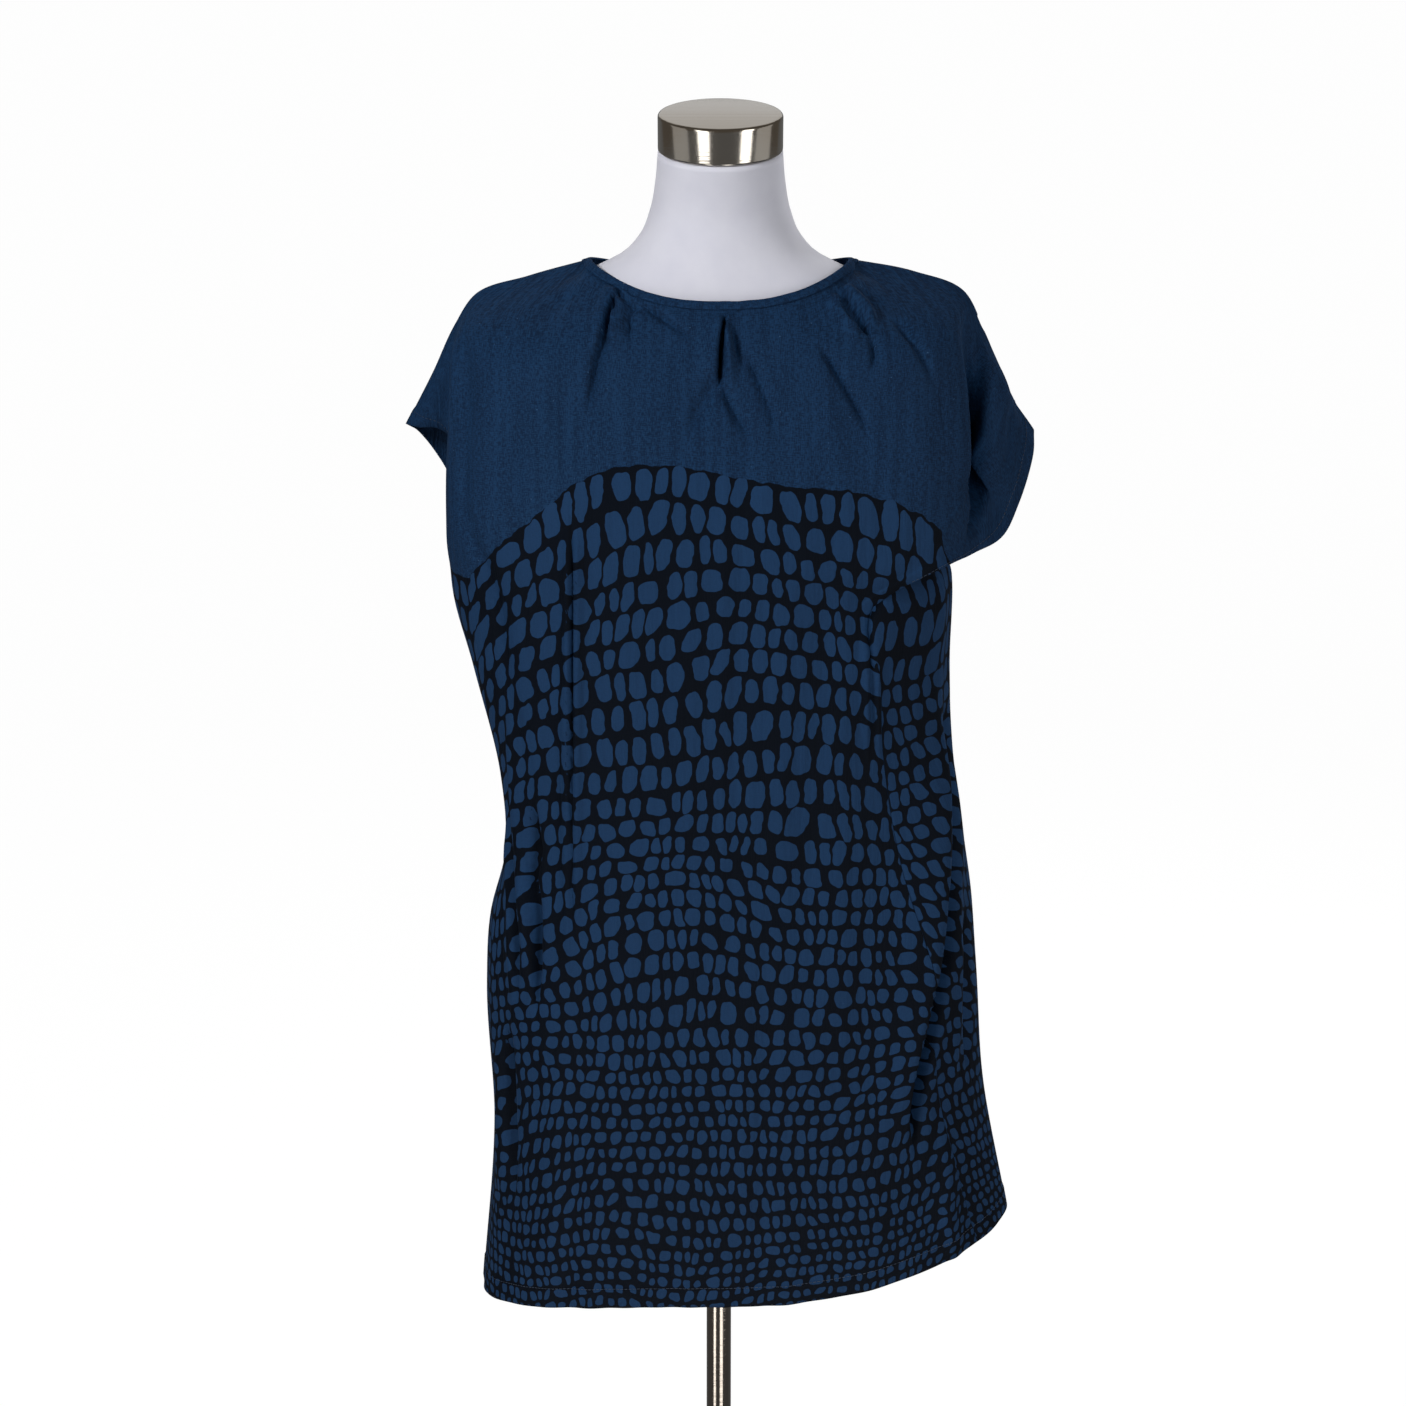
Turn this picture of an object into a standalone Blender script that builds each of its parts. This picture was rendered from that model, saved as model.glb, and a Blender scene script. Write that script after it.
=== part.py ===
"""A short-sleeved tunic top, worn by a limbless display form on a pole and a round base.

Metres, +Z up. The garment's front faces -Y, and its right-hand side in a front view is +X.
The origin is the middle of the base's underside, where the whole stands on a floor.

The tunic is cut from two panels with grown-on cap sleeves, a front and a back, and a narrow neck
binding. Each panel is a wall lofted through level sections, from the shoulder line to the hem.
"""

import math
from typing import NamedTuple

import bmesh
import bpy
import numpy as np
from mathutils import Vector
from mathutils.bvhtree import BVHTree

# Driving dimensions of the tunic
CLOTH = 0.0012  # thickness of a panel's wall
SEAM_GAP = 0.0004  # between two panels along a seam
FORM_GAP = 0.0007  # least room between the cloth and the form
HEM_LEVEL = 0.526
NECK_HALF_WIDTH = 0.109
NECK_POINT = 1.3965  # level where the shoulder seams meet the neckline
FRONT_NECK_DROP = 0.0295
BACK_NECK_DROP = 0.013
FRONT_NECK_DEPTH = 0.078
BACK_NECK_DEPTH = 0.068
NECK_CURVE = 2.5
BINDING_WIDTH = 0.0065
BINDING_CLOTH = 0.0010
BINDING_GAP = 0.0008  # between the binding and the panels
EVENING = 4  # how often the binding's slant is evened out
PIECE_GAP = 0.0003
NECK_SQUARE = 2.2  # 2 makes the neckline an ellipse in plan

# Driving dimensions of the form, its pole and its base
FORM_BOTTOM = 0.740
NECK_RADIUS = 0.0515
NECK_TILT = 13.0
CAP_HEIGHT = 0.031
CAP_EDGE = 0.0025
FORM_EDGE = 0.006  # height of the rounding under the form
FORM_EDGE_SHARE = 0.97  # the underside's size against the lowest section's
POLE_RADIUS = 0.011
POLE_ROOM = 0.0006  # between the pole and what it stands in
POLE_SOCKET = 0.060  # how far the pole reaches up into the form
BASE_RADIUS = 0.170
BASE_EDGE = 0.006
BASE_RIM = 0.003  # bevel round the base's upper edge
BASE_CROWN = 0.012
BASE_SHOULDER_SHARE = 0.55  # where the crown starts to fall, against the base's radius
BOSS_RADIUS = 0.021
BOSS_EDGE = 0.002
BOSS_FOOT = 0.006  # fillet between the boss and the crown
BOSS_TOP = 0.046
SOCKET_FLOOR = 0.008
ROUND_STEPS = 36
CRISP_ANGLE = 45.0  # degrees; a sharper edge than this is shaded crisp

# Linear colours
NAVY = (0.0130, 0.0300, 0.0660)
WHITE = (0.800, 0.800, 0.820)
STEEL = (0.560, 0.530, 0.490)

# Where the lines of a half panel fall, as shares of the way from its middle to its outer edge
NECK_SHARE = 0.47
FOLD_SHARE = 0.80
HEM_AHEAD = 0.014  # a hem this far in front of the widest line hangs before the body
HEM_STRETCH = 0.022  # and its last stretch of cloth is this wide
BEND_SHARE = 0.86  # the most of the way to the seam at which a row's outer columns start
BACK_INSET = 0.25  # how much less than the front the back reaches, against the spread
DROP_CURVE = 2.2  # how late a section's drop to the side sets in
TURN_IN = 0.35  # how much of the sleeve's stretch runs straight to its hem
FOLD_FADE = 0.7  # under 1 keeps a fold full for most of its length


class Section(NamedTuple):
    """A level section of the tunic. Reaches and depths are measured from the pole's axis."""

    name: str
    level: float  # at the middle of the panel
    front: float
    back: float
    left: float  # reach of the widest line on the left
    right: float
    left_fold: float  # how far behind the axis the widest line lies; minus is in front
    right_fold: float
    spread: float  # from the front's widest line to the back's
    left_drop: float  # how much lower the side is than the middle
    right_drop: float
    square: float  # 2 is an ellipse, and more is squarer
    left_seam: float  # how far round to the front the side seam lies
    right_seam: float


SECTIONS = [
    Section("yoke", 1.335, 0.096, 0.088, 0.219, 0.199, -0.020, -0.032, 0.050, 0.002, 0.002, 2.3, 0, 0),
    Section("collarbone", 1.285, 0.116, 0.104, 0.223, 0.200, -0.034, -0.042, 0.076, 0.0, 0.0, 2.4, 0, 0),
    Section("chest", 1.235, 0.130, 0.110, 0.227, 0.204, -0.040, -0.046, 0.086, 0.000, 0.000, 2.5, 0, 0),
    Section("bust", 1.190, 0.137, 0.112, 0.228, 0.206, -0.042, -0.050, 0.082, 0.000, 0.000, 2.5, 0, 0),
    Section("sleeve hem", 1.158, 0.139, 0.112, 0.228, 0.207, -0.034, -0.042, 0.060, 0.0, 0.006, 2.5, 0, 0),
    Section("underarm", 1.126, 0.138, 0.112, 0.226, 0.194, -0.022, -0.020, 0.036, 0.0, -0.010, 2.4, 0, 0.140),
    Section("ribs", 1.060, 0.137, 0.112, 0.210, 0.194, -0.012, -0.014, 0.024, 0.003, -0.002, 2.5, 0, 0.142),
    Section("waist", 0.970, 0.135, 0.113, 0.188, 0.200, -0.010, -0.010, 0.024, 0.006, -0.005, 2.5, 0, 0.140),
    Section("belly", 0.900, 0.136, 0.117, 0.185, 0.209, -0.010, -0.010, 0.024, 0.010, -0.007, 2.5, 0, 0.136),
    Section("seat", 0.850, 0.138, 0.121, 0.198, 0.216, -0.010, -0.010, 0.024, 0.013, -0.009, 2.5, 0, 0.133),
    Section("hip", 0.790, 0.140, 0.125, 0.202, 0.221, -0.010, -0.010, 0.024, 0.016, -0.011, 2.5, 0, 0.128),
    Section("thigh", 0.670, 0.146, 0.134, 0.198, 0.229, -0.010, -0.010, 0.024, 0.024, -0.024, 2.4, 0, 0.116),
    Section("hem", HEM_LEVEL, 0.153, 0.143, 0.210, 0.254, -0.010, -0.010, 0.024, 0.031, -0.044, 2.3, 0, 0.102),
]
UNDERARM_ROW = 6  # counted with the shoulder line as row 0
# How far the sleeve's cloth goes back behind the widest line, at each row above the underarm
TUCK = {-1: [0.022, 0.034, 0.038, 0.034, 0.020], 1: [0.022, 0.034, 0.036, 0.014, 0.004]}


class Point(NamedTuple):
    """A named point of a line: how far out it lies, how far behind the axis, and how high."""

    name: str
    out: float
    behind: float
    level: float


SHOULDER_LINE = {
    -1: [
        Point("neck", NECK_HALF_WIDTH, 0.000, NECK_POINT),
        Point("slope", 0.160, 0.002, 1.3825),
        Point("shoulder end", 0.206, 0.003, 1.3660),
        Point("drop", 0.2225, 0.003, 1.3415),
        Point("sleeve", 0.241, 0.003, 1.303),
        Point("tip", 0.265, 0.003, 1.261),
    ],
    1: [
        Point("neck", NECK_HALF_WIDTH, 0.000, NECK_POINT),
        Point("slope", 0.163, 0.002, 1.3860),
        Point("shoulder end", 0.205, 0.003, 1.3690),
        Point("drop", 0.220, 0.002, 1.341),
        Point("sleeve", 0.235, 0.001, 1.300),
        Point("tip", 0.266, 0.000, 1.254),
    ],
}
SHOULDER_END = 2  # its place in the shoulder line
FACING = 3.0  # how soon a fold fades where the cloth turns to the side

# The sleeve's hem, one point for each row of sections from the tip's to the one over the underarm
CUFF = {
    (-1, "front"): [
        Point("yoke row", 0.252, -0.006, 1.252),
        Point("collarbone row", 0.236, -0.006, 1.243),
        Point("chest row", 0.218, 0.000, 1.224),
        Point("bust row", 0.214, 0.004, 1.196),
        Point("sleeve hem row", 0.218, 0.000, 1.162),
    ],
    (-1, "back"): [
        Point("yoke row", 0.256, 0.024, 1.249),
        Point("collarbone row", 0.245, 0.036, 1.234),
        Point("chest row", 0.232, 0.042, 1.212),
        Point("bust row", 0.223, 0.034, 1.184),
        Point("sleeve hem row", 0.222, 0.014, 1.153),
    ],
    (1, "front"): [
        Point("yoke row", 0.2615, -0.018, 1.230),
        Point("collarbone row", 0.2495, -0.036, 1.197),
        Point("chest row", 0.2350, -0.050, 1.170),
        Point("bust row", 0.2085, -0.068, 1.159),
        Point("sleeve hem row", 0.176, -0.110, 1.151),
    ],
    (1, "back"): [
        Point("yoke row", 0.256, 0.030, 1.228),
        Point("collarbone row", 0.243, 0.040, 1.204),
        Point("chest row", 0.226, 0.030, 1.184),
        Point("bust row", 0.206, -0.006, 1.170),
        Point("sleeve hem row", 0.186, -0.062, 1.160),
    ],
}


class Fold(NamedTuple):
    """A soft ridge, or with a minus height a trough, seen from the front or the back."""

    name: str
    x_top: float
    level_top: float
    x_low: float
    level_low: float
    width: float
    height: float


FRONT_FOLDS = [
    Fold("left pleat", -0.081, 1.372, -0.104, 1.290, 0.0075, -0.0085),
    Fold("middle pleat", 0.004, 1.356, 0.001, 1.280, 0.0075, -0.0090),
    Fold("right pleat", 0.092, 1.372, 0.112, 1.292, 0.0075, -0.0085),
    Fold("left long ridge", -0.128, 1.235, -0.126, 0.780, 0.011, 0.0060),
    Fold("left side ridge", -0.178, 1.080, -0.165, 0.760, 0.011, 0.0060),
    Fold("left trough", -0.150, 1.010, -0.150, 0.800, 0.011, -0.0080),
    Fold("left hem trough", -0.185, 0.730, -0.180, 0.600, 0.011, -0.0080),
    Fold("right long ridge", 0.142, 1.150, 0.136, 0.940, 0.010, 0.0055),
    Fold("right deep trough", 0.193, 1.050, 0.156, 0.600, 0.015, -0.0130),
    Fold("right hip ridge", 0.158, 0.990, 0.118, 0.600, 0.020, 0.0060),
    Fold("right sleeve ridge", 0.196, 1.340, 0.204, 1.160, 0.012, 0.0050),
]
BACK_FOLDS = [
    Fold("left blade trough", -0.100, 1.270, -0.118, 0.700, 0.022, -0.0080),
    Fold("left flank ridge", -0.150, 1.120, -0.160, 0.560, 0.018, 0.0080),
    Fold("middle ridge", -0.020, 1.230, 0.010, 0.560, 0.030, 0.0060),
    Fold("right blade trough", 0.085, 1.280, 0.100, 0.700, 0.022, -0.0080),
    Fold("right flank ridge", 0.150, 1.120, 0.165, 0.580, 0.018, 0.0080),
]

# Columns of a half panel, as shares of the way out, and how the rows are shared out
NECK_COLUMNS = 10
BODY_COLUMNS = 7
SLEEVE_COLUMNS = 5
PLEAT_COLUMNS = [0.022, 0.330, 0.353, 0.376]
UPPER_ROWS = 15
LOWER_ROWS = 13


class FormSection(NamedTuple):
    """A level section of the display form."""

    level: float
    half_width: float
    front: float
    back: float
    square: float
    lean: float  # degrees by which its plane tips forward


FORM_SECTIONS = [
    FormSection(FORM_BOTTOM, 0.157, 0.098, 0.106, 2.2, 0.0),
    FormSection(0.800, 0.163, 0.101, 0.114, 2.2, 0.0),
    FormSection(0.860, 0.157, 0.098, 0.109, 2.2, 0.0),
    FormSection(0.930, 0.140, 0.091, 0.090, 2.2, 0.0),
    FormSection(1.000, 0.127, 0.086, 0.076, 2.1, 0.0),
    FormSection(1.060, 0.133, 0.097, 0.078, 2.1, 0.0),
    FormSection(1.110, 0.144, 0.114, 0.086, 2.2, 0.0),
    FormSection(1.155, 0.153, 0.126, 0.093, 2.3, 0.0),
    FormSection(1.200, 0.160, 0.122, 0.098, 2.3, 0.0),
    FormSection(1.250, 0.171, 0.109, 0.101, 2.3, 0.0),
    FormSection(1.300, 0.185, 0.095, 0.097, 2.3, 0.0),
    FormSection(1.332, 0.192, 0.084, 0.087, 2.2, 0.0),
    FormSection(1.351, 0.186, 0.077, 0.080, 2.1, 0.0),
    FormSection(1.3645, 0.168, 0.071, 0.074, 2.0, 0.0),
    FormSection(1.3765, 0.141, 0.066, 0.068, 2.0, 0.0),
    FormSection(1.386, 0.116, 0.064, 0.062, 2.0, 0.0),
    FormSection(1.393, 0.101, 0.062, 0.058, 2.0, 0.0),
    FormSection(1.402, 0.083, 0.061, 0.054, 2.0, 1.0),
    FormSection(1.416, 0.0685, 0.060, 0.047, 2.0, 3.0),
    FormSection(1.438, 0.0585, 0.061, 0.040, 2.0, 7.0),
    FormSection(1.464, 0.0535, 0.068, 0.033, 2.0, 10.5),
    FormSection(1.487, NECK_RADIUS, 0.0765, 0.0265, 2.0, NECK_TILT),
]


def through(stations, values, where):
    """A smooth curve through values at rising stations, read at the places in where."""
    stations = np.asarray(stations, float)
    values = np.asarray(values, float)
    step = np.diff(stations)
    slope = (np.diff(values, axis=0).T / step).T
    tangent = np.empty_like(values)
    tangent[0], tangent[-1] = slope[0], slope[-1]
    before, after = step[:-1], step[1:]
    shape = (-1,) + (1,) * (values.ndim - 1)
    share = (after / (before + after)).reshape(shape)
    tangent[1:-1] = slope[:-1] * share + slope[1:] * (1 - share)
    where = np.clip(np.asarray(where, float), stations[0], stations[-1])
    k = np.clip(np.searchsorted(stations, where, side="right") - 1, 0, len(step) - 1)
    t = ((where - stations[k]) / step[k]).reshape((-1,) + (1,) * (values.ndim - 1))
    h = step[k].reshape(t.shape)
    return (
        values[k] * (1 + 2 * t) * (1 - t) ** 2
        + tangent[k] * h * t * (1 - t) ** 2
        + values[k + 1] * t**2 * (3 - 2 * t)
        + tangent[k + 1] * h * t**2 * (t - 1)
    )


def along(points, shares):
    """The points of a polyline at shares of its own length."""
    points = np.asarray(points, float)
    run = np.concatenate([[0], np.cumsum(np.linalg.norm(np.diff(points, axis=0), axis=1))])
    return np.stack([np.interp(np.asarray(shares) * run[-1], run, points[:, i]) for i in range(3)], 1)


def smooth_line(points, count=48):
    """A dense smooth polyline through a few points."""
    points = np.asarray(points, float)
    run = np.concatenate([[0], np.cumsum(np.linalg.norm(np.diff(points, axis=0), axis=1))])
    return through(run, points, np.linspace(0, run[-1], count))


def placed(points, hand):
    """Named points as coordinates, on the left (-1) or the right (1)."""
    return np.array([(hand * p.out, p.behind, p.level) for p in points])


def shoulder_row(hand, panel, shares):
    """Row 0 of a half panel: neckline, shoulder seam and the sleeve's top, as one line."""
    depth, drop = (
        (-FRONT_NECK_DEPTH, FRONT_NECK_DROP) if panel == "front" else (BACK_NECK_DEPTH, BACK_NECK_DROP)
    )
    reach = np.linspace(0, 1, 40)
    neckline = np.stack(
        [
            hand * NECK_HALF_WIDTH * reach,
            depth * np.sqrt(1 - reach**NECK_SQUARE),
            NECK_POINT - drop * (1 - reach**NECK_CURVE),
        ],
        1,
    )
    points = placed(SHOULDER_LINE[hand], hand)
    line = smooth_line(points, 60)
    end = int(np.argmin(np.linalg.norm(line - points[SHOULDER_END], axis=1)))
    return in_stretches([neckline, line[: end + 1], line[end:]], [0, NECK_SHARE, FOLD_SHARE, 1], shares)


def in_stretches(lines, bounds, shares):
    """Reads a row made of several lines, each of which takes its own span of the shares."""
    shares = np.asarray(shares, float)
    row = np.zeros((len(shares), 3))
    for line, low, high in zip(lines, bounds, bounds[1:]):
        inside = (shares >= low) & (shares <= high)
        row[inside] = along(line, (shares[inside] - low) / (high - low))
    return row


def arc(section, hand, panel):
    """A panel's line from its middle round to its widest place."""
    left = hand < 0
    reach = section.left if left else section.right
    fold = section.left_fold if left else section.right_fold
    drop = section.left_drop if left else section.right_drop
    depth = -section.front
    if panel == "back":
        depth, fold, reach = section.back, fold + section.spread, reach - BACK_INSET * section.spread
    turn = np.linspace(0, math.pi / 2, 48)
    power = 2 / section.square
    wide = np.sin(turn) ** power
    behind = fold + (depth - fold) * np.cos(turn) ** power
    return np.stack([hand * reach * wide, behind, section.level - drop * wide**DROP_CURVE], 1)


def turned_back(start, edge, pull):
    """The stretch from the widest line to the sleeve's hem, which starts straight back."""
    first = start + np.array([0, pull, 0])
    second = edge - TURN_IN * (edge - start)
    t = np.linspace(0, 1, 24)[:, None]
    return (1 - t) ** 3 * start + 3 * t * (1 - t) ** 2 * first + 3 * t**2 * (1 - t) * second + t**3 * edge


def sleeve_row(number, hand, panel, shares):
    """A row above the underarm: from the panel's middle to the widest line and the sleeve's hem."""
    body = arc(SECTIONS[number - 1], hand, panel)
    hem = placed(CUFF[hand, panel], hand)[number - 1]
    if panel == "front" and hem[1] < body[-1, 1] - HEM_AHEAD:
        body = body[np.abs(body[:, 0]) < abs(hem[0]) - HEM_STRETCH]
        return in_stretches([body, np.array([body[-1], hem])], [0, FOLD_SHARE, 1], shares)
    tuck = TUCK[hand][number - 1]
    pull = tuck if panel == "front" else -tuck
    return in_stretches([body, turned_back(body[-1], hem, pull)], [0, FOLD_SHARE, 1], shares)


def body_row(number, hand, panel, shares):
    """A row from the underarm down: from the panel's middle to the side seam, past the widest line."""
    section = SECTIONS[number - 1]
    front, back = arc(section, hand, "front"), arc(section, hand, "back")[::-1]
    ring = np.concatenate([front, back])
    run = np.concatenate([[0], np.cumsum(np.linalg.norm(np.diff(ring, axis=0), axis=1))])
    widest = run[len(front) - 1]
    side_middle = 0.5 * (widest + run[len(front)])
    seam = side_middle - (section.left_seam if hand < 0 else section.right_seam)
    if panel == "back":
        ring, run, seam, widest = ring[::-1], run[-1] - run[::-1], run[-1] - seam, run[-1] - run[len(front)]
    bend = min(widest, BEND_SHARE * seam)
    dense = np.linspace(0, 1, 60)
    lines = [through(run, ring, bend * dense), through(run, ring, bend + (seam - bend) * dense)]
    return in_stretches(lines, [0, FOLD_SHARE, 1], shares)


def panel_lines(panel, columns):
    """A panel's shoulder line and its sections, from left to right, [row, column]."""
    halves = []
    for hand in (-1, 1):
        lines = [shoulder_row(hand, panel, columns)]
        for number in range(1, len(SECTIONS) + 1):
            row = sleeve_row if number < UNDERARM_ROW else body_row
            lines.append(row(number, hand, panel, columns))
        halves.append(np.array(lines))
    return np.concatenate([halves[0][:, ::-1], halves[1][:, 1:]], 1)


def panel_surfaces(front_columns, back_columns):
    """The inside of the front and of the back as grids of points, with rows at shared places."""
    lines = [panel_lines("front", front_columns), panel_lines("back", back_columns)]
    drops = [np.linalg.norm(np.diff(each, axis=0), axis=2).mean(1) for each in lines]
    down = np.concatenate([[0], np.cumsum(0.5 * (drops[0] + drops[1]))])
    upper = np.linspace(0, down[UNDERARM_ROW], UPPER_ROWS + 1)
    rows = np.concatenate([upper, np.linspace(down[UNDERARM_ROW], down[-1], LOWER_ROWS + 1)[1:]])
    return [through(down, each, rows) for each in lines]


def unit(vectors):
    return vectors / np.maximum(np.linalg.norm(vectors, axis=-1, keepdims=True), 1e-12)


def normals(grid, panel):
    """Outward unit normals of a panel's grid."""
    across = np.gradient(grid, axis=1)
    down = np.gradient(grid, axis=0)
    normal = unit(np.cross(down, across))
    return normal if panel == "front" else -normal


def fold_heights(grid, folds):
    """How far the folds lift each point of a grid, by its place in a front view."""
    lift = np.zeros(grid.shape[:2])
    for fold in folds:
        start = np.array([fold.x_top, fold.level_top])
        run = np.array([fold.x_low, fold.level_low]) - start
        length = np.linalg.norm(run)
        offset = grid[..., [0, 2]] - start
        share = offset @ run / length**2
        aside = offset @ np.array([-run[1], run[0]]) / length
        fade = np.sin(math.pi * np.clip(share, 0, 1)) ** FOLD_FADE
        lift += fold.height * fade * np.exp(-((aside / fold.width) ** 2))
    return lift


def form_values(level):
    """Half-width, front, back and squareness of the form at each level."""
    table = np.array([[s.half_width, s.front, s.back, s.square] for s in FORM_SECTIONS])
    return through([s.level for s in FORM_SECTIONS], table, level)


def form_reach(points):
    """1 on the form's skin, less inside it and more outside."""
    width, front, back, square = form_values(points[:, 2]).T
    depth = np.where(points[:, 1] < 0, front, back)
    return (np.abs(points[:, 0] / width) ** square + np.abs(points[:, 1] / depth) ** square) ** (1 / square)


def lacking_room(points, gap):
    """How much further out each point must be to clear the form, and which way is out."""
    probe = 0.0005
    rise = np.stack(
        [
            (form_reach(points + step) - form_reach(points - step)) / (2 * probe)
            for step in np.eye(3) * probe
        ],
        1,
    )
    steep = np.maximum(np.linalg.norm(rise, axis=1), 1e-6)
    return gap - (form_reach(points) - 1) / steep, rise / steep[:, None]


def halved(grid):
    """The grid with the middles of its edges and faces added."""
    rows = np.empty((2 * grid.shape[0] - 1, *grid.shape[1:]))
    rows[::2], rows[1::2] = grid, 0.5 * (grid[1:] + grid[:-1])
    fine = np.empty((rows.shape[0], 2 * rows.shape[1] - 1, 3))
    fine[:, ::2], fine[:, 1::2] = rows, 0.5 * (rows[:, 1:] + rows[:, :-1])
    return fine


def clear_of_form(grid, gap):
    """Moves a grid out where it, or the middle of one of its faces, lies too near the form."""
    for _ in range(8):
        fine = halved(grid)
        lack, _ = lacking_room(fine.reshape(-1, 3), gap)
        lack = np.pad(lack.reshape(fine.shape[:2]), 1, mode="edge")
        nearby = [
            lack[r : r + fine.shape[0], c : c + fine.shape[1]] for r in range(3) for c in range(3)
        ]
        most = np.maximum(np.max(nearby, axis=0)[::2, ::2], 0)
        _, out = lacking_room(grid.reshape(-1, 3), gap)
        grid = grid + most[..., None] * out.reshape(grid.shape)
    return grid


def column_shares(extra):
    """Shares of the way out at which a half panel has its columns."""
    neck = [x for x in np.linspace(0, NECK_SHARE, NECK_COLUMNS + 1) if not near(x, extra)]
    body = np.linspace(NECK_SHARE, FOLD_SHARE, BODY_COLUMNS + 1)[1:]
    sleeve = np.linspace(FOLD_SHARE, 1, SLEEVE_COLUMNS + 1)[1:]
    return np.sort(np.concatenate([neck, extra, body, sleeve]))


def near(share, others):
    """Whether a share lies so close to one of the others that it would make a sliver."""
    return any(abs(share - other) < 0.6 * NECK_SHARE / NECK_COLUMNS for other in others if share > 0)


def seamed(front, back, front_columns, back_columns):
    """Normals of both panels, made the same along the shoulder seams and the side seams."""
    n_front, n_back = normals(front, "front"), normals(back, "back")
    below = slice(UPPER_ROWS, None)
    for side in (0, -1):
        both = unit(n_front[below, side] + n_back[below, side])
        n_front[below, side] = both
        n_back[below, side] = both
    seam_front = shoulder_columns(front_columns)
    seam_back = shoulder_columns(back_columns)
    top = unit(n_front[0, seam_front] + n_back[0, seam_back])
    n_front[0, seam_front] = top
    n_back[0, seam_back] = top
    return n_front, n_back


def shoulder_columns(shares):
    """Numbers of the columns that start on a shoulder seam, over the whole panel."""
    outer = [k for k, share in enumerate(shares) if share >= NECK_SHARE - 1e-6]
    middle = len(shares) - 1
    return sorted([middle - k for k in outer] + [middle + k for k in outer])


def parted(grid):
    """Draws a panel back from its seams, so that two panels leave a thin gap."""
    drawn = grid.copy()
    drawn[:, 0] += 0.5 * SEAM_GAP * unit(grid[:, 1] - grid[:, 0])
    drawn[:, -1] += 0.5 * SEAM_GAP * unit(grid[:, -2] - grid[:, -1])
    drawn[0] += 0.5 * SEAM_GAP * unit(grid[1] - grid[0])
    return drawn


def folded(grid, normal):
    """The grid with its folds, each on the side of the tunic that it belongs to."""
    facing = np.clip(FACING * normal[..., 1], -1, 1)
    lift = fold_heights(grid, FRONT_FOLDS) * np.maximum(-facing, 0)
    lift += fold_heights(grid, BACK_FOLDS) * np.maximum(facing, 0)
    lift[0] = 0
    return grid + lift[..., None] * normal


def joined(front, back):
    """Both grids with one shared line along each side seam."""
    below = slice(UPPER_ROWS, None)
    for side in (0, -1):
        middle = 0.5 * (front[below, side] + back[below, side])
        front[below, side] = middle
        back[below, side] = middle
    return front, back


def tunic_grids():
    """Inside points and normals of the front and the back panel."""
    columns = column_shares(PLEAT_COLUMNS), column_shares([])
    front, back = joined(*panel_surfaces(*columns))
    n_front, n_back = seamed(front, back, *columns)
    front, back = folded(front, n_front), folded(back, n_back)
    front, back = joined(clear_of_form(front, FORM_GAP), clear_of_form(back, FORM_GAP))
    n_front, n_back = seamed(front, back, *columns)
    return {
        "front": (parted(front), n_front, columns[0]),
        "back": (parted(back), n_back, columns[1]),
    }


def material(name, colour, roughness, metallic=0.0):
    """A plain finish."""
    made = bpy.data.materials.new(name)
    made.use_nodes = True
    shader = made.node_tree.nodes["Principled BSDF"]
    shader.inputs["Base Color"].default_value = (*colour, 1.0)
    shader.inputs["Roughness"].default_value = roughness
    shader.inputs["Metallic"].default_value = metallic
    return made


def object_of(name, mesh_builder, finish):
    """A new object whose mesh a builder fills, with outward faces and smooth round sides."""
    mesh = bpy.data.meshes.new(name)
    bm = bmesh.new()
    mesh_builder(bm)
    bmesh.ops.recalc_face_normals(bm, faces=bm.faces)
    if bm.calc_volume(signed=True) < 0:
        bmesh.ops.reverse_faces(bm, faces=bm.faces)
    bm.to_mesh(mesh)
    bm.free()
    mesh.shade_smooth()
    mesh.set_sharp_from_angle(angle=math.radians(CRISP_ANGLE))
    made = bpy.data.objects.new(name, mesh)
    made.data.materials.append(finish)
    bpy.context.scene.collection.objects.link(made)
    return made


def triangles(rows, columns):
    """The faces of a grid, split alike on its left and its right, as places [row, column]."""
    for r in range(rows - 1):
        for c in range(columns - 1):
            a, b, d, e = (r, c), (r, c + 1), (r + 1, c + 1), (r + 1, c)
            if c >= (columns - 1) / 2:
                yield from ((a, b, d), (a, d, e))
            else:
                yield from ((a, b, e), (b, d, e))


def wall(bm, inside, normal, thickness):
    """A closed wall on a grid of inside points, with a rim round its four edges."""
    rows, columns = inside.shape[:2]
    outside = inside + thickness * normal
    skins = [
        [[bm.verts.new(skin[r, c]) for c in range(columns)] for r in range(rows)]
        for skin in (inside, outside)
    ]
    for skin in skins:
        for triangle in triangles(rows, columns):
            bm.faces.new([skin[r][c] for r, c in triangle])
    inner, outer = skins
    rim = [(0, c) for c in range(columns)]
    rim += [(r, columns - 1) for r in range(1, rows)]
    rim += [(rows - 1, c) for c in range(columns - 2, -1, -1)]
    rim += [(r, 0) for r in range(rows - 2, 0, -1)]
    for (r, c), (s, d) in zip(rim, rim[1:] + rim[:1]):
        bm.faces.new((inner[r][c], inner[s][d], outer[s][d], outer[r][c]))


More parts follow.
